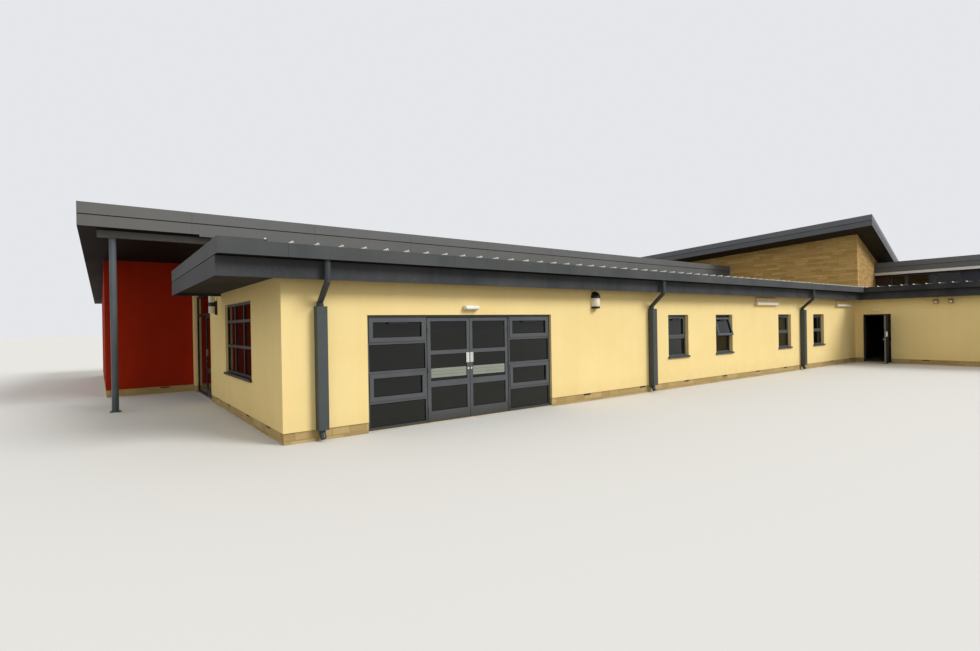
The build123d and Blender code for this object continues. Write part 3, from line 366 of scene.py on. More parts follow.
# Rendered walls.
# Blockwork with a through-coloured scraped render: cream outside, brick red beside the entrance.
# Its lower edge ends on a plastic bead just over the base course.
def render_look(tree, place, light, dark, grime):
    """Colour and height of scraped render: fine grain, soft float marks, and dust at its foot."""
    wear = worn(tree, place, 210.0, 0.9, 0.3)
    coat = blend_tones(tree, spread(tree, wear["Shade"], 0.30, 0.66), dark, light)
    rise = axes(tree, place)["Z"]
    foot = spread(tree, rise, 0.55, 0.17)
    foot = maths(tree, "MULTIPLY", foot, noise(tree, place, 4.0, 5.0))
    foot = maths(tree, "MULTIPLY", foot, 0.4)
    return blend_tones(tree, foot, coat, grime), wear["Height"]


def render_coat(name, tones):
    """Scraped render of one colour, with two-millimetre grain."""
    material, tree, shader, place = blank(name, 0.92, gloss=0.2)
    colour, height = render_look(tree, place, *tones)
    tree.links.new(colour, shader.inputs["Base Color"])
    relief(tree, shader, height, 0.0016, 0.7)
    return material


cream_tones = ((251, 227, 162), (244, 217, 150), (212, 180, 118))
cream_render = render_coat("cream_render", cream_tones)
red_render = render_coat("red_render", ((168, 40, 6), (152, 32, 4), (128, 40, 14)))
finish(cream_render, "front_wall", "side_wall", "rear_wall", "upper_front_wall", "wing_wall",
       "wing_end_wall", "wing_back_wall")
finish(red_render, "red_wall", "left_wall")

bead_boxes = []
for x0, x1 in ((-0.004, 1.460), (5.903, 23.910)):
    bead_boxes.append(((x0, -0.004, 0.186), (x1, 0.010, 0.194)))
for y0, y1 in ((0.014, 6.535), (9.204, 9.652)):
    bead_boxes.append(((-0.004, y0, 0.186), (0.010, y1, 0.194)))
bead_boxes.append(((-2.176, 9.652, 0.186), (-0.006, 9.666, 0.194)))
for y0, y1 in ((-7.400, -1.282), (-0.291, -0.008)):
    bead_boxes.append(((23.910, y0, 0.186), (23.924, y1, 0.194)))
bead_plastic = weathered("bead_plastic", (228, 204, 148), (208, 182, 126), 0.6, 250.0, 3.0, 0.0, 0.0002)
fix(soft_boxes("render_bead", bead_boxes, 0.0015), bead_plastic)


# Stone hall.
# Local sandstone in long thin courses, laid square to the hall, which is turned ten degrees.
# The beds are split along the grain, so each course carries darker and lighter streaks.
hall_turn = radians(10.0)
hall_corner = (25.580, 0.417)
sandstone = ((176, 137, 76), (198, 160, 96), (216, 180, 114), (186, 151, 90))
hall_look = (sandstone, -hall_turn, 0.0, 0.62, 0.125, 0.005)
hall_stone = stonework("hall_sandstone", 0.007, *hall_look)
finish(hall_stone, "hall_long_wall", "hall_back_wall", "hall_right_wall")
# The hall's front face takes darker tones of the same sandstone: painted shade of the deep roof overhang
# above it.
front_face_painted_shade_tones = ((160, 123, 66), (180, 144, 84), (198, 163, 102), (168, 135, 78))
finish(stonework("sandstone_painted_shade", 0.007, front_face_painted_shade_tones, *hall_look[1:]), "hall_front_wall")


def over_doors():
    """Cream render over the outer doorways, and the hall's stone over the doorway in its long wall."""
    material, tree, shader, place = blank("walls_over_doors_coat", 0.9, gloss=0.25)
    cream, grain = render_look(tree, place, *cream_tones)
    stone, face = stone_look(tree, place, *hall_look)
    ways = axes(tree, place)
    hall_side = at(15.0, 5.0, 0.0)
    right = maths(tree, "GREATER_THAN", ways["X"], hall_side[0])
    back = maths(tree, "GREATER_THAN", ways["Y"], hall_side[1])
    hall = maths(tree, "MULTIPLY", right, back)
    tree.links.new(blend_tones(tree, hall, cream, stone), shader.inputs["Base Color"])
    face = maths(tree, "MULTIPLY", face, 4.0)
    lift = maths(tree, "MULTIPLY", face, hall)
    relief(tree, shader, maths(tree, "ADD", grain, lift), 0.0016)
    return material


finish(over_doors(), "walls_over_doors")


# Low roofs of the front and the wing.
# Coated steel sheets with a standing seam every 395 millimetres, running up from the eaves.
# The sheets lap over a folded fascia, and each seam ends at the eaves in a metal cap, near white as bright
# metal and as a painted glint.
def folding_group():
    """Marks of folded sheet: joints between lengths on the edges, and which faces are edges."""
    group, given = new_group("sheet_folding", "Shader",
                             {"Vector": "Vector", "Sheet Length": "Float", "Joint Width": "Float"},
                             {"Edge": "Float", "Under": "Float", "Joint": "Float"})
    split = axes(group, given["Vector"])
    along = maths(group, "ADD", split["X"], split["Y"])
    along = maths(group, "DIVIDE", along, given["Sheet Length"])
    along = maths(group, "FRACT", along)
    narrow = maths(group, "DIVIDE", given["Joint Width"], given["Sheet Length"])
    line = maths(group, "LESS_THAN", along, narrow)
    normal = wire(group, "ShaderNodeNewGeometry").outputs["Normal"]
    lean = axes(group, normal)["Z"]
    steep = maths(group, "ABSOLUTE", lean)
    edge = maths(group, "LESS_THAN", steep, 0.5)
    under = maths(group, "LESS_THAN", lean, -0.5)
    joint = maths(group, "MULTIPLY", edge, line)
    wire(group, "NodeGroupOutput", {"Edge": edge, "Under": under, "Joint": joint})
    return group


folding = folding_group()
sheet_length = 3.0
sheet_joint = 0.006
# Undersides of the folded sheets and the faces of the grooves between their tiers are painted near black as
# shade; the hall's soffit is painted a little lighter.
soffit_painted_shade = (26, 23, 21)
lighter_soffit_painted_shade = (58, 52, 43)


def folded_sheet(name, top, edge, roughness, gloss=0.3, under=soffit_painted_shade):
    """Coated steel sheet: tones of its roof and edges, with joints between lengths, and its underside painted
    dark as shade.
    """
    material, tree, shader, place = blank(name, roughness, 0.1, gloss)
    wear = worn(tree, place, 60.0, 0.7, 0.15)
    folds = wire(tree, "ShaderNodeGroup", {"Vector": place, "Sheet Length": sheet_length,
                                           "Joint Width": sheet_joint}, node_tree=folding).outputs
    plain = blend_tones(tree, folds["Edge"], top, edge)
    dust = spread(tree, wear["Shade"], 0.35, 1.6)
    dusty = blend_tones(tree, dust, plain, (132, 131, 128))
    closed = blend_tones(tree, folds["Under"], dusty, under)
    faint = maths(tree, "MULTIPLY", folds["Joint"], 0.4)
    lined = blend_tones(tree, faint, closed, (34, 35, 37))
    tree.links.new(lined, shader.inputs["Base Color"])
    sheen = spread(tree, wear["Shade"], 0.3, 0.7, roughness - 0.06, roughness + 0.10)
    tree.links.new(sheen, shader.inputs["Roughness"])
    height = maths(tree, "MULTIPLY", wear["Height"], 0.12)
    height = maths(tree, "SUBTRACT", height, folds["Joint"])
    relief(tree, shader, height, 0.003)
    return material


# The low roof's fascia tone is darker than that of the upper fascias of the same metal: painted shade.
low_roof_sheet = folded_sheet("low_roof_sheet", (96, 98, 99), (66, 70, 72), 0.6, 0.12)
finish(low_roof_sheet, "front_low_roof")
# The wing's low fascia faces away from the lamp and is painted darker still: painted shade.
finish(folded_sheet("wing_low_roof_painted_shade", (96, 98, 99), (36, 39, 43), 0.6, 0.10), "wing_low_roof")


def rib_tree():
    """Geometry Nodes tree that runs a tapered standing seam along each edge of a mesh."""
    tree, given = new_group("standing_seams", "Geometry",
                            {"Geometry": "Geometry", "Foot Width": "Float", "Crest Width": "Float",
                             "Height": "Float", "Finish": "Material"}, {"Geometry": "Geometry"})
    tree.is_modifier = True
    path = wire(tree, "GeometryNodeMeshToCurve", {"Mesh": given["Geometry"]}).outputs["Curve"]
    path = wire(tree, "GeometryNodeSetCurveNormal", {"Curve": path}, mode="Z_UP").outputs["Curve"]
    profile = wire(tree, "GeometryNodeCurvePrimitiveQuadrilateral",
                   {"Bottom Width": given["Crest Width"], "Top Width": given["Foot Width"],
                    "Height": given["Height"], "Offset": 0.0}, mode="TRAPEZOID").outputs["Curve"]
    half = maths(tree, "MULTIPLY", given["Height"], -0.5)
    shift = wire(tree, "ShaderNodeCombineXYZ", {"Y": half}).outputs[0]
    profile = wire(tree, "GeometryNodeTransform", {"Geometry": profile, "Translation": shift}).outputs[0]
    seam = wire(tree, "GeometryNodeCurveToMesh", {"Curve": path, "Profile Curve": profile,
                                                  "Fill Caps": True}).outputs["Mesh"]
    seam = wire(tree, "GeometryNodeRealizeInstances", {"Geometry": seam}).outputs["Geometry"]
    seam = wire(tree, "GeometryNodeSetMaterial", {"Geometry": seam, "Material": given["Finish"]}).outputs[0]
    wire(tree, "NodeGroupOutput", {"Geometry": seam})
    return tree


seam_tree = rib_tree()


def by_tree(name, mesh, tree, values):
    """Run a Geometry Nodes tree on a mesh, and keep the result as a plain mesh."""
    seed = bpy.data.objects.new(name, mesh)
    bpy.context.scene.collection.objects.link(seed)
    modifier = seed.modifiers.new("tree", "NODES")
    modifier.node_group = tree
    for item in tree.interface.items_tree:
        if item.in_out == "INPUT" and item.name in values:
            modifier[item.identifier] = values[item.name]
    graph = bpy.context.evaluated_depsgraph_get()
    made = bpy.data.meshes.new_from_object(seed.evaluated_get(graph), depsgraph=graph)
    made.name = name
    seed.modifiers.remove(modifier)
    seed.data = made
    return seed


probe = 0.02
above_roofs = 20.0
fewest = 20


def seam_lines(node, starts, step, reach):
    """Lines on the upper side of a roof, each from where the roof starts to where it ends."""
    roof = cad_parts[node]
    surface = BVHTree.FromPolygons([v.co for v in roof.data.vertices],
                                   [p.vertices for p in roof.data.polygons])
    lines = []
    for start in starts:
        ends = []
        for count in range(int(reach / probe)):
            away = count * probe
            spot = Vector((start[0] + step[0] * away, start[1] + step[1] * away, above_roofs))
            hit, normal = surface.ray_cast(spot, Vector((0, 0, -1)))[:2]
            if hit is not None and normal.z > 0.9:
                ends.append(hit)
            elif ends:
                break
        if len(ends) > fewest:
            lines.append((ends[0], ends[-1]))
    return lines


def seams(name, lines, foot, crest, height):
    """Standing seams along a list of straight lines, by the width of foot and crest, and the height."""
    mesh = bpy.data.meshes.new(name + "_lines")
    mesh.from_pydata([end for line in lines for end in line],
                     [(2 * count, 2 * count + 1) for count in range(len(lines))], [])
    made = by_tree(name, mesh, seam_tree, {"Foot Width": foot, "Crest Width": crest, "Height": height,
                                           "Finish": seam_metal})
    fix(made, seam_metal)


def skin(shape, rings):
    """Closed skin over a row of rings, each given as a list of points in order."""
    rows = [[shape.verts.new(spot) for spot in ring] for ring in rings]
    for lower, upper in zip(rows, rows[1:]):
        for step in range(len(lower)):
            after = (step + 1) % len(lower)
            shape.faces.new((lower[step], lower[after], upper[after], upper[step]))
    shape.faces.new(list(reversed(rows[0])))
    shape.faces.new(rows[-1])


cap_length = 0.17


def seam_caps(name, lines):
    """Caps on the eaves ends of the seams, each a wedge that runs down along its seam, near white as bright
    metal and as a painted glint.
    """
    shape = bmesh.new()
    for low, high in lines:
        way = (high - low).normalized()
        side = way.cross(Vector((0, 0, 1))).normalized()
        rings = []
        for far, foot, crest, height in ((0.0, 0.021, 0.007, 0.037),
                                         (cap_length, 0.016, 0.008, 0.020)):
            middle = low + way * far - Vector((corner[0], corner[1], 0.0))
            rise = Vector((0, 0, height))
            rings.append([middle - side * foot, middle + side * foot, middle + side * crest + rise,
                          middle - side * crest + rise])
        skin(shape, rings)
    bmesh.ops.recalc_face_normals(shape, faces=shape.faces[:])
    fix(piece_from(name, shape), cap_metal_and_glint)


def eaves_seams(name, lines):
    """Seams of a low roof, with their caps at the eaves."""
    seams(name, lines, *low_seam)
    seam_caps(name + "_caps", lines)


seam_metal = weathered("seam_metal", (104, 106, 107), (88, 90, 92), 0.5, 40.0, 1.0, 0.3, 0.0004,
                       gloss=0.3)
# The caps are bright metal, and their near-white tone is partly a painted glint.
cap_metal_and_glint = weathered("seam_cap_and_painted_glint", (238, 237, 228), (214, 213, 204), 0.45, 60.0, 2.0, 0.2,
                       0.0004)
seam_step = 0.395
low_seam = (0.032, 0.014, 0.018)
high_seam = (0.034, 0.016, 0.030)
starts = [at(0.050 + seam_step * count, -0.60, 0.0) for count in range(61)]
eaves_seams("front_low_roof_seams", seam_lines("front_low_roof", starts, (0, 1), 9.0))
starts = [at(23.30, -7.30 + seam_step * count, 0.0) for count in range(22)]
eaves_seams("wing_low_roof_seams", seam_lines("wing_low_roof", starts, (1, 0), 9.0))
seam_caps("corner_seam_cap", [(at(-0.345, -0.527, 3.183), at(-0.345, 0.0, 3.183))])


# Side canopy and low eaves.
# A flat canopy turns the eaves round the corner of the front, and keeps the entrance path dry.
# Boarded soffits close its underside, painted near black as shade, with a folded metal board hung round their
# outer edge.
finish(low_roof_sheet, "side_canopy")
# The low edge boards are painted darker than the fascia above them, as shade under its overhang.
finish(folded_sheet("low_edge_metal_painted_shade", (50, 53, 58), (48, 51, 56), 0.6, 0.12), "low_edge_boards")
# The soffit boards are painted dark brown as shade under the eaves.
finish(weathered("soffit_board", (50, 44, 37), (36, 31, 26), 0.7, 120.0, 0.8, 0.0, 0.0006, gloss=0.2),
       "low_soffits")


# Upper roof.
# The main roof tips back from the front, with two folded fascias and a groove between them whose faces are
# painted dark as shade.
# The lower fascia ends in a drip edge, and a pale flashing closes the roof's end at the hall.
finish(folded_sheet("upper_edge_metal", (100, 101, 101), (100, 100, 99), 0.55, 0.15), "upper_roof")
# The lower tier is painted dark as shade on its top and under faces, in the groove and under the eaves.
lower_tier_metal = folded_sheet("upper_lower_tier", soffit_painted_shade, (101, 101, 100), 0.6, 0.06)
finish(lower_tier_metal, "upper_roof_soffit")
drip_edge = soft_boxes("upper_drip_edge", [((-0.300, 5.917, 4.168), (24.590, 5.930, 4.223))], 0.002)
fix(drip_edge, lower_tier_metal)
starts = [at(-2.30 + seam_step * count, 6.27, 0.0) for count in range(72)]
seams("upper_roof_seams", seam_lines("upper_roof", starts, (0, 1), 14.0), *high_seam)
flashing = soft_boxes("hall_flashing", [((24.575, 5.900, 4.225), (24.616, 5.918, 4.742))], 0.003)
fix(flashing, weathered("pale_flashing", (196, 194, 186), (172, 170, 162), 0.5, 120.0, 2.0, 0.3, 0.0003))


# High roof and clerestory of the wing.
# The wing's high roof tips away from the low one, over a strip of mullioned clerestory glass.
# Flat coated panels close the strip between the lights, under a white painted head board.
finish(folded_sheet("wing_edge_metal", (104, 105, 105), (112, 115, 118), 0.52), "wing_high_roof")
# The wing's lower tier is painted dark as shade on its top and under faces.
finish(folded_sheet("wing_lower_tier", soffit_painted_shade, (112, 115, 118), 0.6, 0.1), "wing_high_roof_soffit")
starts = [at(31.064, -7.50 + seam_step * count, 0.0) for count in range(29)]
seams("wing_high_roof_seams", seam_lines("wing_high_roof", starts, (1, 0), 7.0), *high_seam)
finish(weathered("white_head_paint", (244, 242, 234), (230, 227, 216), 0.6, 120.0, 1.0, 0.3, 0.0004),
       "clerestory_head_board")
finish(weathered("clerestory_lining", (58, 56, 54), (44, 42, 40), 0.6, 90.0, 1.0, 0.2, 0.0004),
       "clerestory_wall")


def panel_coat():
    """Coated infill panels: blue-grey beside the near lights, brown-red at the far end."""
    material, tree, shader, place = blank("clerestory_panel_coat", 0.5, gloss=0.4)
    wear = worn(tree, place, 80.0, 1.0, 0.2)
    share = spread(tree, wear["Shade"], 0.28, 0.72)
    cool = blend_tones(tree, share, (44, 47, 60), (60, 63, 76))
    warm = blend_tones(tree, share, (62, 38, 32), (78, 50, 42))
    back = axes(tree, place)["Y"]
    far = maths(tree, "GREATER_THAN", back, at(0, 0.4, 0)[1])
    tree.links.new(blend_tones(tree, far, cool, warm), shader.inputs["Base Color"])
    aged(tree, shader, wear, 0.5, 0.0003)
    return material


finish(panel_coat(), "clerestory_panels")


# Hall roof.
# The highest roof oversails the hall on all sides and is tipped towards its far right corner.
# Its edge has the same two folded tiers, and its soffit is lined with board, painted dark as shade.
finish(folded_sheet("hall_edge_metal", (104, 105, 106), (100, 103, 108), 0.5), "hall_roof")
finish(folded_sheet("hall_lower_tier", soffit_painted_shade, (98, 101, 106), 0.6, 0.1, lighter_soffit_painted_shade),
       "hall_roof_soffit")
across = (cos(hall_turn), sin(hall_turn))
along = (-sin(hall_turn), cos(hall_turn))
outside = 0.67
starts = []
for count in range(52):
    away = -0.40 + seam_step * count
    starts.append(at(hall_corner[0] - outside * across[0] + away * along[0],
                     hall_corner[1] - outside * across[1] + away * along[1], 0.0))
seams("hall_roof_seams", seam_lines("hall_roof", starts, across, 13.0), *high_seam)


# Porch beam and column.
# A round steel column on a bolted base plate carries the beam along the edge of the porch.
# The column is shop-painted blue-grey, with a cap plate welded under the beam.
column_paint = weathered("column_paint", (88, 97, 102), (72, 80, 86), 0.45, 70.0, 1.5, 0.4, 0.0003,
                         gloss=0.4)
beam_paint = weathered("beam_paint", (112, 111, 109), (98, 97, 96), 0.5, 70.0, 1.5, 0.3, 0.0003,
                       gloss=0.3)
finish(column_paint, "porch_column")
finish(beam_paint, "porch_beam")


def lofted(name, rings):
    """Piece with one closed skin, smooth round its curves and sharp at its edges."""
    shape = bmesh.new()
    skin(shape, rings)
    bmesh.ops.recalc_face_normals(shape, faces=shape.faces[:])
    made = piece_from(name, shape)
    made.data.shade_smooth()
    made.data.set_sharp_from_angle(angle=radians(40))
    return made


def turned(name, outline, axis_at, steps=28):
    """Piece turned on an upright axis from radius and height pairs."""
    rings = []
    for radius, height in outline:
        turns = [2 * pi * step / steps for step in range(steps)]
        rings.append([(axis_at[0] + radius * cos(turn), axis_at[1] + radius * sin(turn), height)
                      for turn in turns])
    return lofted(name, rings)


column_at = (-2.037, 6.280)
cap_outline = [(0.095, 4.022), (0.098, 4.025), (0.098, 4.037), (0.095, 4.040)]
fix(turned("column_cap_plate", cap_outline, column_at, 32), column_paint)


def screw_tree():
    """Geometry Nodes tree that sets a screw head or a nut on each point of a mesh."""
    tree, given = new_group("screw_heads", "Geometry",
                            {"Geometry": "Geometry", "Radius": "Float", "Crown": "Float", "Depth": "Float",
                             "Sides": "Int", "Turn": "Vector", "Finish": "Material"},
                            {"Geometry": "Geometry"})
    tree.is_modifier = True
    head = wire(tree, "GeometryNodeMeshCone",
                {"Radius Top": given["Crown"], "Radius Bottom": given["Radius"], "Depth": given["Depth"],
                 "Vertices": given["Sides"]}).outputs["Mesh"]
    angle = wire(tree, "FunctionNodeEulerToRotation", {0: given["Turn"]}).outputs[0]
    placed = wire(tree, "GeometryNodeInstanceOnPoints", {"Points": given["Geometry"], "Instance": head,
                                                         "Rotation": angle}).outputs["Instances"]
    real = wire(tree, "GeometryNodeRealizeInstances", {"Geometry": placed}).outputs["Geometry"]
    real = wire(tree, "GeometryNodeSetMaterial", {"Geometry": real, "Material": given["Finish"]}).outputs[0]
    wire(tree, "NodeGroupOutput", {"Geometry": real})
    return tree


fixing_tree = screw_tree()


def heads(name, places, turn, radius, crown, depth, sides, material):
    """Screw heads or nuts at a list of places."""
    mesh = bpy.data.meshes.new(name + "_points")
    mesh.from_pydata([at(*spot) for spot in places], [], [])
    made = by_tree(name, mesh, fixing_tree, {"Radius": radius, "Crown": crown, "Depth": depth,
                                             "Sides": sides, "Turn": turn, "Finish": material})
    fix(made, material)


bright_screw = weathered("bright_screw", (150, 153, 155), (118, 121, 124), 0.35, 200.0, 9.0, 0.0, 0.0001,
                         metallic=0.9)
nut_reach = 0.085
nut_places = [(column_at[0] + x, column_at[1] + y, 0.012) for x in (-nut_reach, nut_reach)
              for y in (-nut_reach, nut_reach)]
heads("base_plate_nuts", nut_places, (0.0, 0.0, 0.0), 0.015, 0.014, 0.014, 6, bright_screw)


# Downpipes and their guards.
# Round coated pipes drop from the eaves, kick back to the wall and run down inside channel guards.
# Sockets join the lengths, and each guard is screwed to the wall through its face.
pipe_coat = weathered("pipe_coat", (60, 64, 69), (46, 50, 55), 0.42, 90.0, 2.0, 0.5, 0.0003, gloss=0.4)
guard_coat = weathered("guard_coat", (76, 83, 83), (66, 72, 73), 0.52, 90.0, 1.6, 0.4, 0.0003, gloss=0.3)
finish(pipe_coat, "downpipes")
finish(guard_coat, "pipe_guards")
pipe_places = (0.612, 9.539, 18.652)
for number, x in enumerate(pipe_places):
    for name, y, low, high in (("high", -0.433, 2.640, 2.930), ("low", -0.062, 2.236, 2.292),
                               ("foot", -0.062, 0.150, 0.186)):
        outline = [(0.051, low), (0.057, low + 0.005), (0.057, high - 0.005), (0.051, high)]
        socket = turned(f"pipe_socket_{name}_{number + 1}", outline, (x, y))
        fix(socket, pipe_coat)
guard_screws = [(x + side, -0.165, z) for x in pipe_places for z in (0.34, 0.95, 1.56, 2.14)
                for side in (-0.06, 0.06)]
heads("guard_screws", guard_screws, (pi / 2, 0.0, 0.0), 0.007, 0.005, 0.004, 10, guard_coat)


# Windows.
# Dark grey aluminium frames with a fixed light below and a top-hung light above, dry-glazed.
# Each opening light has a black vent hood on its head and rubber round its glass.
def frame_finish(name, coat, shaded, middle, reach):
    """Powder-coated frame, splashed with dirt near the ground, and painted darker beyond a stretch of wall as
    shade on frames that stand in shade.
    """
    material, tree, shader, place = blank(name, 0.45, gloss=0.25)
    wear = worn(tree, place, 400.0, 2.0, 0.3)
    share = spread(tree, wear["Shade"], 0.28, 0.72)
    ways = axes(tree, place)
    foot = spread(tree, ways["Z"], 0.32, 0.04)
    foot = maths(tree, "MULTIPLY", foot, 0.8)
    plain = blend_tones(tree, foot, blend_tones(tree, share, *coat), (60, 59, 53))
    away = maths(tree, "SUBTRACT", ways["X"], at(middle, 0, 0)[0])
    away = maths(tree, "ABSOLUTE", away)
    # Beyond the stretch the frame takes its shaded tones: painted shade.
    beyond = maths(tree, "GREATER_THAN", away, reach)
    dark = blend_tones(tree, share, *shaded)
    tree.links.new(blend_tones(tree, beyond, plain, dark), shader.inputs["Base Color"])
    aged(tree, shader, wear, 0.45, 0.0002)
    return material


grey_coat = ((78, 81, 84), (90, 93, 96))
# Dark brown tones for frames and sills away from the front: painted shade.
frame_painted_shade_tones = ((44, 36, 35), (56, 46, 44))
front_stretch = (18.7, 17.8)
window_coat = frame_finish("window_coat", grey_coat, frame_painted_shade_tones, *front_stretch)
finish(window_coat, "window_frames", "opening_lights")
finish(frame_finish("sill_metal", ((64, 66, 72), (76, 78, 84)), frame_painted_shade_tones, *front_stretch),
       "window_sills")


def glazing(name, tint, haze, streaks):
    """Grey-tinted float glass: a faint wave in its face, a little dust, and a painted reflection of the
    ground that lightens it towards the bottom.
    """
    material, tree, shader, place = blank(name, 0.04, gloss=0.10)
    shader.inputs["Transmission Weight"].default_value = 0.7
    shader.inputs["IOR"].default_value = 1.5
    wear = worn(tree, place, 1.6, 0.9, streaks)
    share = spread(tree, wear["Shade"], 0.45, 0.75)
    rise = axes(tree, place)["Z"]
    # Below 0.9 metres the glass is lightened towards green-grey by height: painted reflection of the ground.
    low = maths(tree, "MULTIPLY", spread(tree, rise, 0.9, 0.1), 0.8)
    dusty = blend_tones(tree, low, blend_tones(tree, share, tint, haze), (52, 56, 48))
    tree.links.new(dusty, shader.inputs["Base Color"])
    relief(tree, shader, wear["Height"], 0.0015, 0.4)
    return material


finish(glazing("window_glass_tint", (28, 32, 28), (46, 51, 44), 0.3), "window_glass")
rubber = weathered("rubber_and_painted_shadow", (24, 25, 26), (14, 15, 16), 0.7, 300.0, 5.0, 0.0, 0.0001, gloss=0.2)
thin_bevel = 0.0004


def rubber_and_shadow_strips(name, edges, place=None, body="building", bevel=0.002):
    """Rubber round a pane, and black strips that are painted shadow lines round sashes and doorways, all in
    one mesh.
    """
    fix(soft_boxes(name, edges, bevel, place), rubber, body)


def surround(x0, x1, z0, z1, y0, y1, width):
    """Four members of a thin rectangular surround."""
    return [((x0, y0, z0), (x1, y1, z0 + width)), ((x0, y0, z1 - width), (x1, y1, z1)),
            ((x0, y0, z0 + width), (x0 + width, y1, z1 - width)),
            ((x1 - width, y0, z0 + width), (x1, y1, z1 - width))]


def standing(x, y, turn):
    """Turn and place of a window drawn at the corner, on its wall."""
    return Matrix.Translation((x, y, 0)) @ Matrix.Rotation(radians(turn), 4, "Z")


window_half = 0.485
light_half = window_half - 0.052
pane_half = light_half - 0.060
low_pane = (0.942, 1.394)
high_light = (1.446, 2.014)
high_pane = (high_light[0] + 0.060, high_light[1] - 0.060)
pivot = Vector((0, 0.088, high_light[1]))
open_window = 1
open_angle = radians(-16)
swing = (Matrix.Translation((0, 0, -0.034)) @ Matrix.Translation(pivot)
         @ Matrix.Rotation(open_angle, 4, "X") @ Matrix.Translation(-pivot))
front_windows = (10.360, 12.800, 16.860, 19.715)
rear_windows = (1.6, 6.6, 11.6, 16.6)
wing_windows = (-5.6, -2.4)
rear_face = 18.900
wing_face = hall_corner[0] + 10.400 * cos(hall_turn) - 0.222
spots = [(x + window_half, 0.0, 0) for x in front_windows]
spots += [(x + window_half, rear_face, 180) for x in rear_windows]
spots += [(wing_face, y + window_half, 90) for y in wing_windows]
for number, spot in enumerate(spots):
    place = standing(*spot)
    opens = number < len(front_windows)
    name = f"window_{number + 1}"
    edges = surround(-light_half, light_half, *low_pane, 0.112, 0.124, 0.010)
    if not opens:
        edges += surround(-light_half, light_half, *high_light, 0.112, 0.124, 0.010)
    rubber_and_shadow_strips(name + "_fixed_rubber", edges, place)
    if not opens:
        continue
    upper = place @ swing if number == open_window else place
    edges = surround(-pane_half, pane_half, *high_pane, 0.112, 0.124, 0.010)
    rubber_and_shadow_strips(name + "_sash_rubber", edges, upper)
    hood = [((-0.170, 0.076, high_pane[1] - 0.044), (0.170, 0.090, high_pane[1] + 0.016))]
    fix(soft_boxes(name + "_vent_hood", hood, 0.004, upper), black_plastic)
    # A thin black strip round each opening light is a painted shadow line in the gap round its sash.
    seal = surround(-light_half - 0.004, light_half + 0.004, high_light[0] - 0.004, high_light[1] + 0.004,
                    0.0985, 0.1005, 0.004)
    rubber_and_shadow_strips(name + "_sash_seal", seal, place, bevel=thin_bevel)

wide_rubber = []
for x0, x1 in ((-1.199, -0.443), (-0.391, 0.391), (0.443, 1.199)):
    for z0, z1 in ((0.947, 1.474), (1.526, 2.015), (2.067, 2.371)):
        wide_rubber += surround(x0, x1, z0, z1, 0.062, 0.074, 0.010)
rubber_and_shadow_strips("wide_window_rubber", wide_rubber, standing(0.0, 3.311, -90))


# Front door screen.
# A full-height aluminium screen fills the opening: two leaves between side lights of four rows.
# The second and the top row are top-hung lights with black vent hoods over their glass.
# Near-black tones for the frames of the entrance and the staff door: painted shade.
door_frame_painted_shade_tones = ((34, 37, 42), (44, 47, 52))
screen_stretch = (3.68, 3.0)
door_coat = frame_finish("door_coat", grey_coat, door_frame_painted_shade_tones, *screen_stretch)
finish(door_coat, "screen_frame", "door_frames", "frame_hinges")
door_glass = glazing("door_glass_tint", (16, 19, 17), (34, 38, 34), 0.4)
finish(door_glass, "side_light_glass")
screen_rows = ((0.070, 0.488), (0.532, 1.028), (1.072, 1.553), (1.597, 2.036))
sash_stile = 0.075
sash_rail = 0.080
screen_rubber = []
hoods = []
seals = []
for x0, x1 in ((1.514, 2.658), (4.725, 5.849)):
    middle = (x0 + x1) / 2
    for row, (z0, z1) in enumerate(screen_rows):
        if row % 2 == 0:
            screen_rubber += surround(x0, x1, z0, z1, 0.072, 0.084, 0.010)
            continue
        top = z1 - sash_rail
        screen_rubber += surround(x0 + sash_stile, x1 - sash_stile, z0 + sash_rail, top,
                                  0.072, 0.084, 0.010)
        # A thin black strip round each top-hung light is a painted shadow line in the gap round its sash.
        seals += surround(x0 - 0.004, x1 + 0.004, z0 - 0.004, z1 + 0.004, 0.0585, 0.0605, 0.004)
        reach, drop = (0.200, 0.034) if row == 3 else (0.170, 0.010)
        hoods.append(((middle - reach, 0.036, top - drop), (middle + reach, 0.050, top + 0.004)))
rubber_and_shadow_strips("screen_rubber", screen_rubber)
# Black strips over and beside the doorway are painted shadow lines in the gaps round the leaves.
seals += [((2.699, 0.0585, 2.038), (4.684, 0.0605, 2.048)),
          ((2.688, 0.0585, 0.022), (2.700, 0.0605, 2.048)),
          ((4.683, 0.0585, 0.022), (4.697, 0.0605, 2.048))]
rubber_and_shadow_strips("screen_sash_seals", seals, bevel=thin_bevel)
fix(soft_boxes("screen_vent_hoods", hoods, 0.004), black_plastic)


# Door leaves of the screen and of the entrance.
# Glazed leaves on butt hinges, each with a kick rail and cross rails, and rubber round the glass.
# Pull plates and locks are satin steel, and a frosted band is stuck across the screen leaves.
finish(door_coat, "left_screen_door", "right_screen_door", "entrance_door")
finish(door_glass, "left_screen_door_glass", "right_screen_door_glass", "entrance_door_glass")


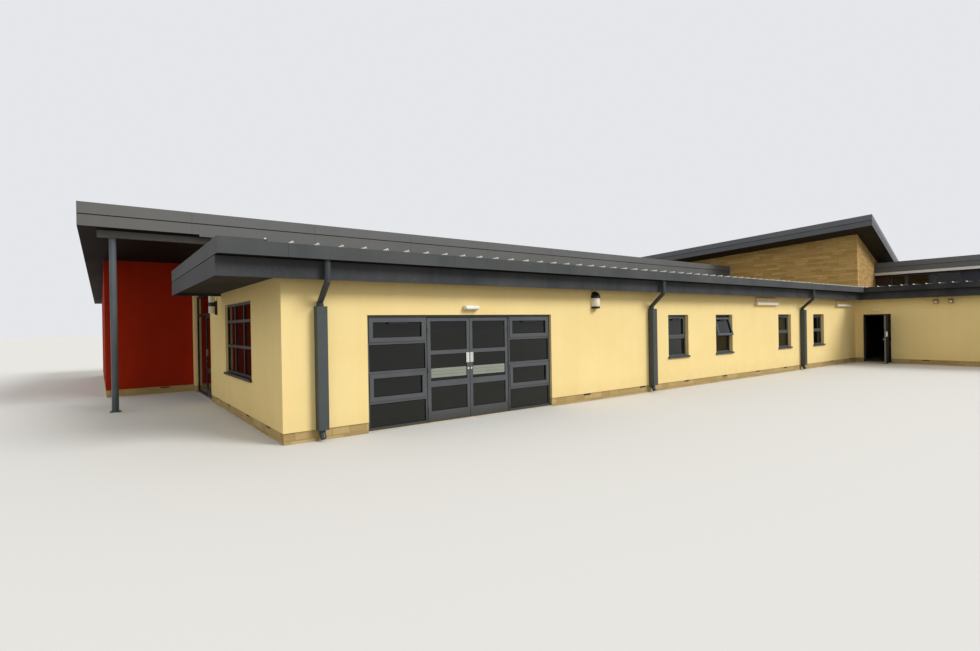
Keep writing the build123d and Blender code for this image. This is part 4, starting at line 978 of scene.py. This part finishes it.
def leaf_fittings(name, axis, middle, reach):
    """Satin steel for the plate and lock by a leaf's free edge, and frame paint for its hinges."""
    material, tree, shader, place = blank(name, 0.4)
    wear = worn(tree, place, 90.0, 4.0, 0.8)
    share = spread(tree, wear["Shade"], 0.28, 0.72)
    satin = blend_tones(tree, share, (192, 193, 191), (222, 223, 220))
    painted = blend_tones(tree, share, (78, 81, 84), (90, 93, 96))
    way = axes(tree, place)[axis]
    away = maths(tree, "SUBTRACT", way, middle)
    away = maths(tree, "ABSOLUTE", away)
    near = maths(tree, "LESS_THAN", away, reach)
    metal = maths(tree, "MULTIPLY", near, 0.5)
    tree.links.new(metal, shader.inputs["Metallic"])
    tree.links.new(blend_tones(tree, near, painted, satin), shader.inputs["Base Color"])
    aged(tree, shader, wear, 0.4, 0.0001)
    return material


screen_middle = at(3.6915, 0.0, 0.0)[0]
finish(leaf_fittings("screen_fittings", "X", screen_middle, 0.3), "left_screen_door_fittings",
       "right_screen_door_fittings")
finish(leaf_fittings("entrance_fittings", "Y", at(0, 7.60, 0)[1], 0.3), "entrance_door_fittings")
frosted = weathered("frosted_band", (146, 152, 139), (130, 136, 124), 0.55, 30.0, 4.0, 0.0, 0.0003)
leaf_rows = ((0.228, 0.693), (0.811, 1.320), (1.398, 1.965))
for name, body, x0, x1 in (("left_screen", "left_screen_leaf", 2.779, 3.6205),
                           ("right_screen", "right_screen_leaf", 3.7625, 4.604)):
    edges = []
    for z0, z1 in leaf_rows:
        edges += surround(x0, x1, z0, z1, 0.0705, 0.0782, 0.009)
    rubber_and_shadow_strips(name + "_leaf_rubber", edges, body=body)
    bands = [((x0 + 0.010, 0.0764, z0), (x1 - 0.010, 0.0782, z1))
             for z0, z1 in ((0.870, 0.927), (0.930, 0.989), (0.992, 1.050))]
    fix(soft_boxes(name + "_frosted_band", bands, 0.0006), frosted, body)

edges = surround(-0.442, 0.442, 0.228, 0.693, 0.0705, 0.0782, 0.009)
edges += surround(-0.442, 0.442, 0.811, 2.194, 0.0705, 0.0782, 0.009)
rubber_and_shadow_strips("entrance_leaf_rubber", edges, standing(0.0, 7.102, -90), "entrance_leaf")
edges = surround(-0.7425, 0.7425, 0.070, 2.265, 0.072, 0.084, 0.010)
rubber_and_shadow_strips("entrance_side_light_rubber", edges, standing(0.0, 8.4075, -90))
edges = surround(-1.2805, 1.2805, 2.315, 2.800, 0.072, 0.084, 0.010)
rubber_and_shadow_strips("entrance_top_light_rubber", edges, standing(0.0, 7.8695, -90))


# Staff door in the wing wall.
# A flush steel-faced leaf in a plain metal frame, standing open a little past a right angle.
# It has a lever inside, a satin steel lock case outside, and a pale strip down its free edge.
finish(weathered("leaf_paint", (34, 37, 35), (26, 28, 27), 0.6, 90.0, 1.6, 0.4, 0.0003, gloss=0.08),
       "wing_door")
finish(leaf_fittings("staff_door_fittings", "X", at(23.15, 0, 0)[0], 0.4), "wing_door_fittings")
pin = Vector((-0.0025, -0.008, 0.0))
leaf_open = radians(98)
leaf_place = (standing(23.974, -1.228, -90) @ Matrix.Translation(pin)
              @ Matrix.Rotation(leaf_open, 4, "Z") @ Matrix.Translation(-pin))
lever = [((-0.856, 0.054, 0.985), (-0.816, 0.064, 1.035)),
         ((-0.845, 0.060, 1.001), (-0.827, 0.112, 1.019)),
         ((-0.850, 0.096, 0.999), (-0.730, 0.112, 1.021))]
satin_steel = weathered("satin_steel", (222, 223, 220), (192, 193, 191), 0.36, 90.0, 4.0, 0.6, 0.0001,
                        metallic=0.4)
fix(soft_boxes("staff_door_lever", lever, 0.004, leaf_place, 3), satin_steel, "wing_leaf")
lock_case = [((-0.866, -0.046, 1.120), (-0.800, 0.006, 1.330)),
             ((-0.858, -0.052, 1.150), (-0.808, -0.044, 1.300))]
lock_piece = soft_boxes("staff_door_lock_case", lock_case, 0.004, leaf_place, 3)
fix(lock_piece, satin_steel, "wing_leaf")
edge_strip = [((-0.8785, 0.006, 0.035), (-0.8765, 0.054, 1.980))]
edge_paint = weathered("leaf_edge_paint", (118, 118, 116), (98, 98, 96), 0.5, 90.0, 1.6, 0.4, 0.0003)
edge_piece = soft_boxes("staff_door_edge_strip", edge_strip, 0.0005, leaf_place)
fix(edge_piece, edge_paint, "wing_leaf")


# Wall lamps.
# White bulkheads: an oval one over the doors, a hooded lantern, and two long strips under the eaves.
# By the side doors there are small lamps, and two tilted floodlights look down the wing wall.
lamp_white = weathered("lamp_white", (232, 224, 200), (210, 202, 178), 0.4, 120.0, 4.0, 0.5, 0.0003)
tray_cream = weathered("lamp_tray_cream", (236, 212, 158), (222, 196, 142), 0.5, 120.0, 4.0, 0.5, 0.0003)
opal = weathered("lamp_opal", (250, 246, 230), (236, 230, 210), 0.3, 60.0, 6.0, 0.2, 0.0002)
lamp_bronze = weathered("lamp_bronze", (158, 138, 102), (130, 112, 82), 0.5, 120.0, 4.0, 0.3, 0.0003)
lamp_black = weathered("lamp_black", (34, 35, 36), (22, 23, 24), 0.45, 120.0, 4.0, 0.3, 0.0003, gloss=0.4)


def hang(piece, material):
    """Fix a lamp piece that stands for the plain lamps of the solids."""
    fix(piece, material)
    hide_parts("wall_lamps")


def stadium(x0, x1, z0, z1, y, inset):
    """Ring of points round a flat oval that stands upright at depth y."""
    steps = 10
    radius = (z1 - z0) / 2 - inset
    middle = (z0 + z1) / 2
    ring = []
    for side, centre in ((1, x1 - (z1 - z0) / 2), (-1, x0 + (z1 - z0) / 2)):
        for step in range(steps + 1):
            turn = side * pi / 2 - side * pi * step / steps
            ring.append((centre + side * radius * cos(turn), y, middle + radius * sin(turn)))
    return ring


oval = (3.487, 3.862, 2.172, 2.280)
for name, rings, material in (
        ("oval_lamp_base", ((0.0, 0.0), (-0.030, 0.0), (-0.036, 0.006)), lamp_white),
        ("oval_lamp_opal", ((-0.034, 0.008), (-0.080, 0.010), (-0.098, 0.018), (-0.107, 0.030),
                            (-0.110, 0.044)), opal)):
    hang(lofted(name, [stadium(*oval, *ring) for ring in rings]), material)

strips = ((15.190, 16.710, 2.378, 2.615), (21.810, 23.230, 2.375, 2.615))
for number, (x0, x1, z0, z1) in enumerate(strips):
    name = f"strip_lamp_{number + 1}"
    tray = [((x0 + 0.02, -0.072, z0 + 0.085), (x1 - 0.02, 0.0, z1))]
    hang(soft_boxes(name + "_tray", tray, 0.006), tray_cream)
    tube = [((x0 + 0.03, -0.106, z0), (x1 - 0.03, -0.004, z0 + 0.100))]
    hang(soft_boxes(name + "_opal", tube, 0.030, segments=4), opal)
    ends = [((x0, -0.110, z0), (x0 + 0.035, 0.0, z0 + 0.108)),
            ((x1 - 0.035, -0.110, z0), (x1, 0.0, z0 + 0.108))]
    hang(soft_boxes(name + "_ends", ends, 0.008), lamp_white)


def lantern_ring(z, half, out):
    """Ring of points round the lantern at one height: flat against the wall, rounded in front."""
    middle = 7.345
    ring = [(middle - half, 0.0, z)]
    for step in range(9):
        turn = pi + pi * step / 8
        ring.append((middle + half * cos(turn), -out + half + half * sin(turn) if out > half
                     else out * sin(turn), z))
    ring.append((middle + half, 0.0, z))
    return ring


for name, rings, material in (
        ("lantern_base", ((2.225, 0.080, 0.120), (2.232, 0.098, 0.150), (2.268, 0.104, 0.158),
                          (2.275, 0.100, 0.152)), lamp_black),
        ("lantern_opal", ((2.272, 0.092, 0.142), (2.300, 0.098, 0.150), (2.460, 0.098, 0.150),
                          (2.488, 0.092, 0.142)), opal),
        ("lantern_hood", ((2.478, 0.106, 0.164), (2.486, 0.110, 0.170), (2.520, 0.108, 0.166),
                          (2.590, 0.085, 0.130), (2.628, 0.050, 0.075), (2.635, 0.030, 0.045)), lamp_black)):
    hang(lofted(name, [lantern_ring(*ring) for ring in rings]), material)

side_at = (-0.115, 5.550)
for name, outline, material in (
        ("side_lamp_tube_low", [(0.060, 2.272), (0.070, 2.270), (0.070, 2.436), (0.066, 2.438)], lamp_white),
        ("side_lamp_tube_high", [(0.066, 2.527), (0.070, 2.529), (0.070, 2.690), (0.060, 2.688)], lamp_white),
        ("side_lamp_band", [(0.060, 2.430), (0.070, 2.432), (0.070, 2.533), (0.060, 2.535)], lamp_black)):
    hang(turned(name, outline, side_at), material)
hang(soft_boxes("side_lamp_arm", [((-0.110, 5.512, 2.445), (-0.040, 5.588, 2.520))], 0.006), lamp_black)
hang(soft_boxes("side_lamp_box", [((-0.050, 5.500, 2.230), (0.0, 5.600, 2.567))], 0.008), lamp_black)

staff_lamp = [((23.806, -0.930, 2.192), (23.914, -0.680, 2.258))]
hang(soft_boxes("staff_door_lamp", staff_lamp, 0.020, segments=4), opal)

for number, y in enumerate((-3.220, -2.774)):
    tilt = Matrix.Translation((23.784, y, 2.485)) @ Matrix.Rotation(radians(-30), 4, "Y")
    name = f"floodlight_{number + 1}"
    head = [((-0.040, -0.075, -0.075), (0.045, 0.075, 0.075))]
    hang(soft_boxes(name + "_head", head, 0.012, tilt), lamp_bronze)
    lens = [((-0.045, -0.036, -0.036), (-0.036, 0.036, 0.036))]
    hang(soft_boxes(name + "_lens", lens, 0.004, tilt), opal)
    bracket = [((23.784, y - 0.036, 2.468), (23.914, y + 0.036, 2.502)),
               ((23.902, y - 0.038, 2.455), (23.914, y + 0.038, 2.515))]
    hang(soft_boxes(name + "_bracket", bracket, 0.004), lamp_bronze)
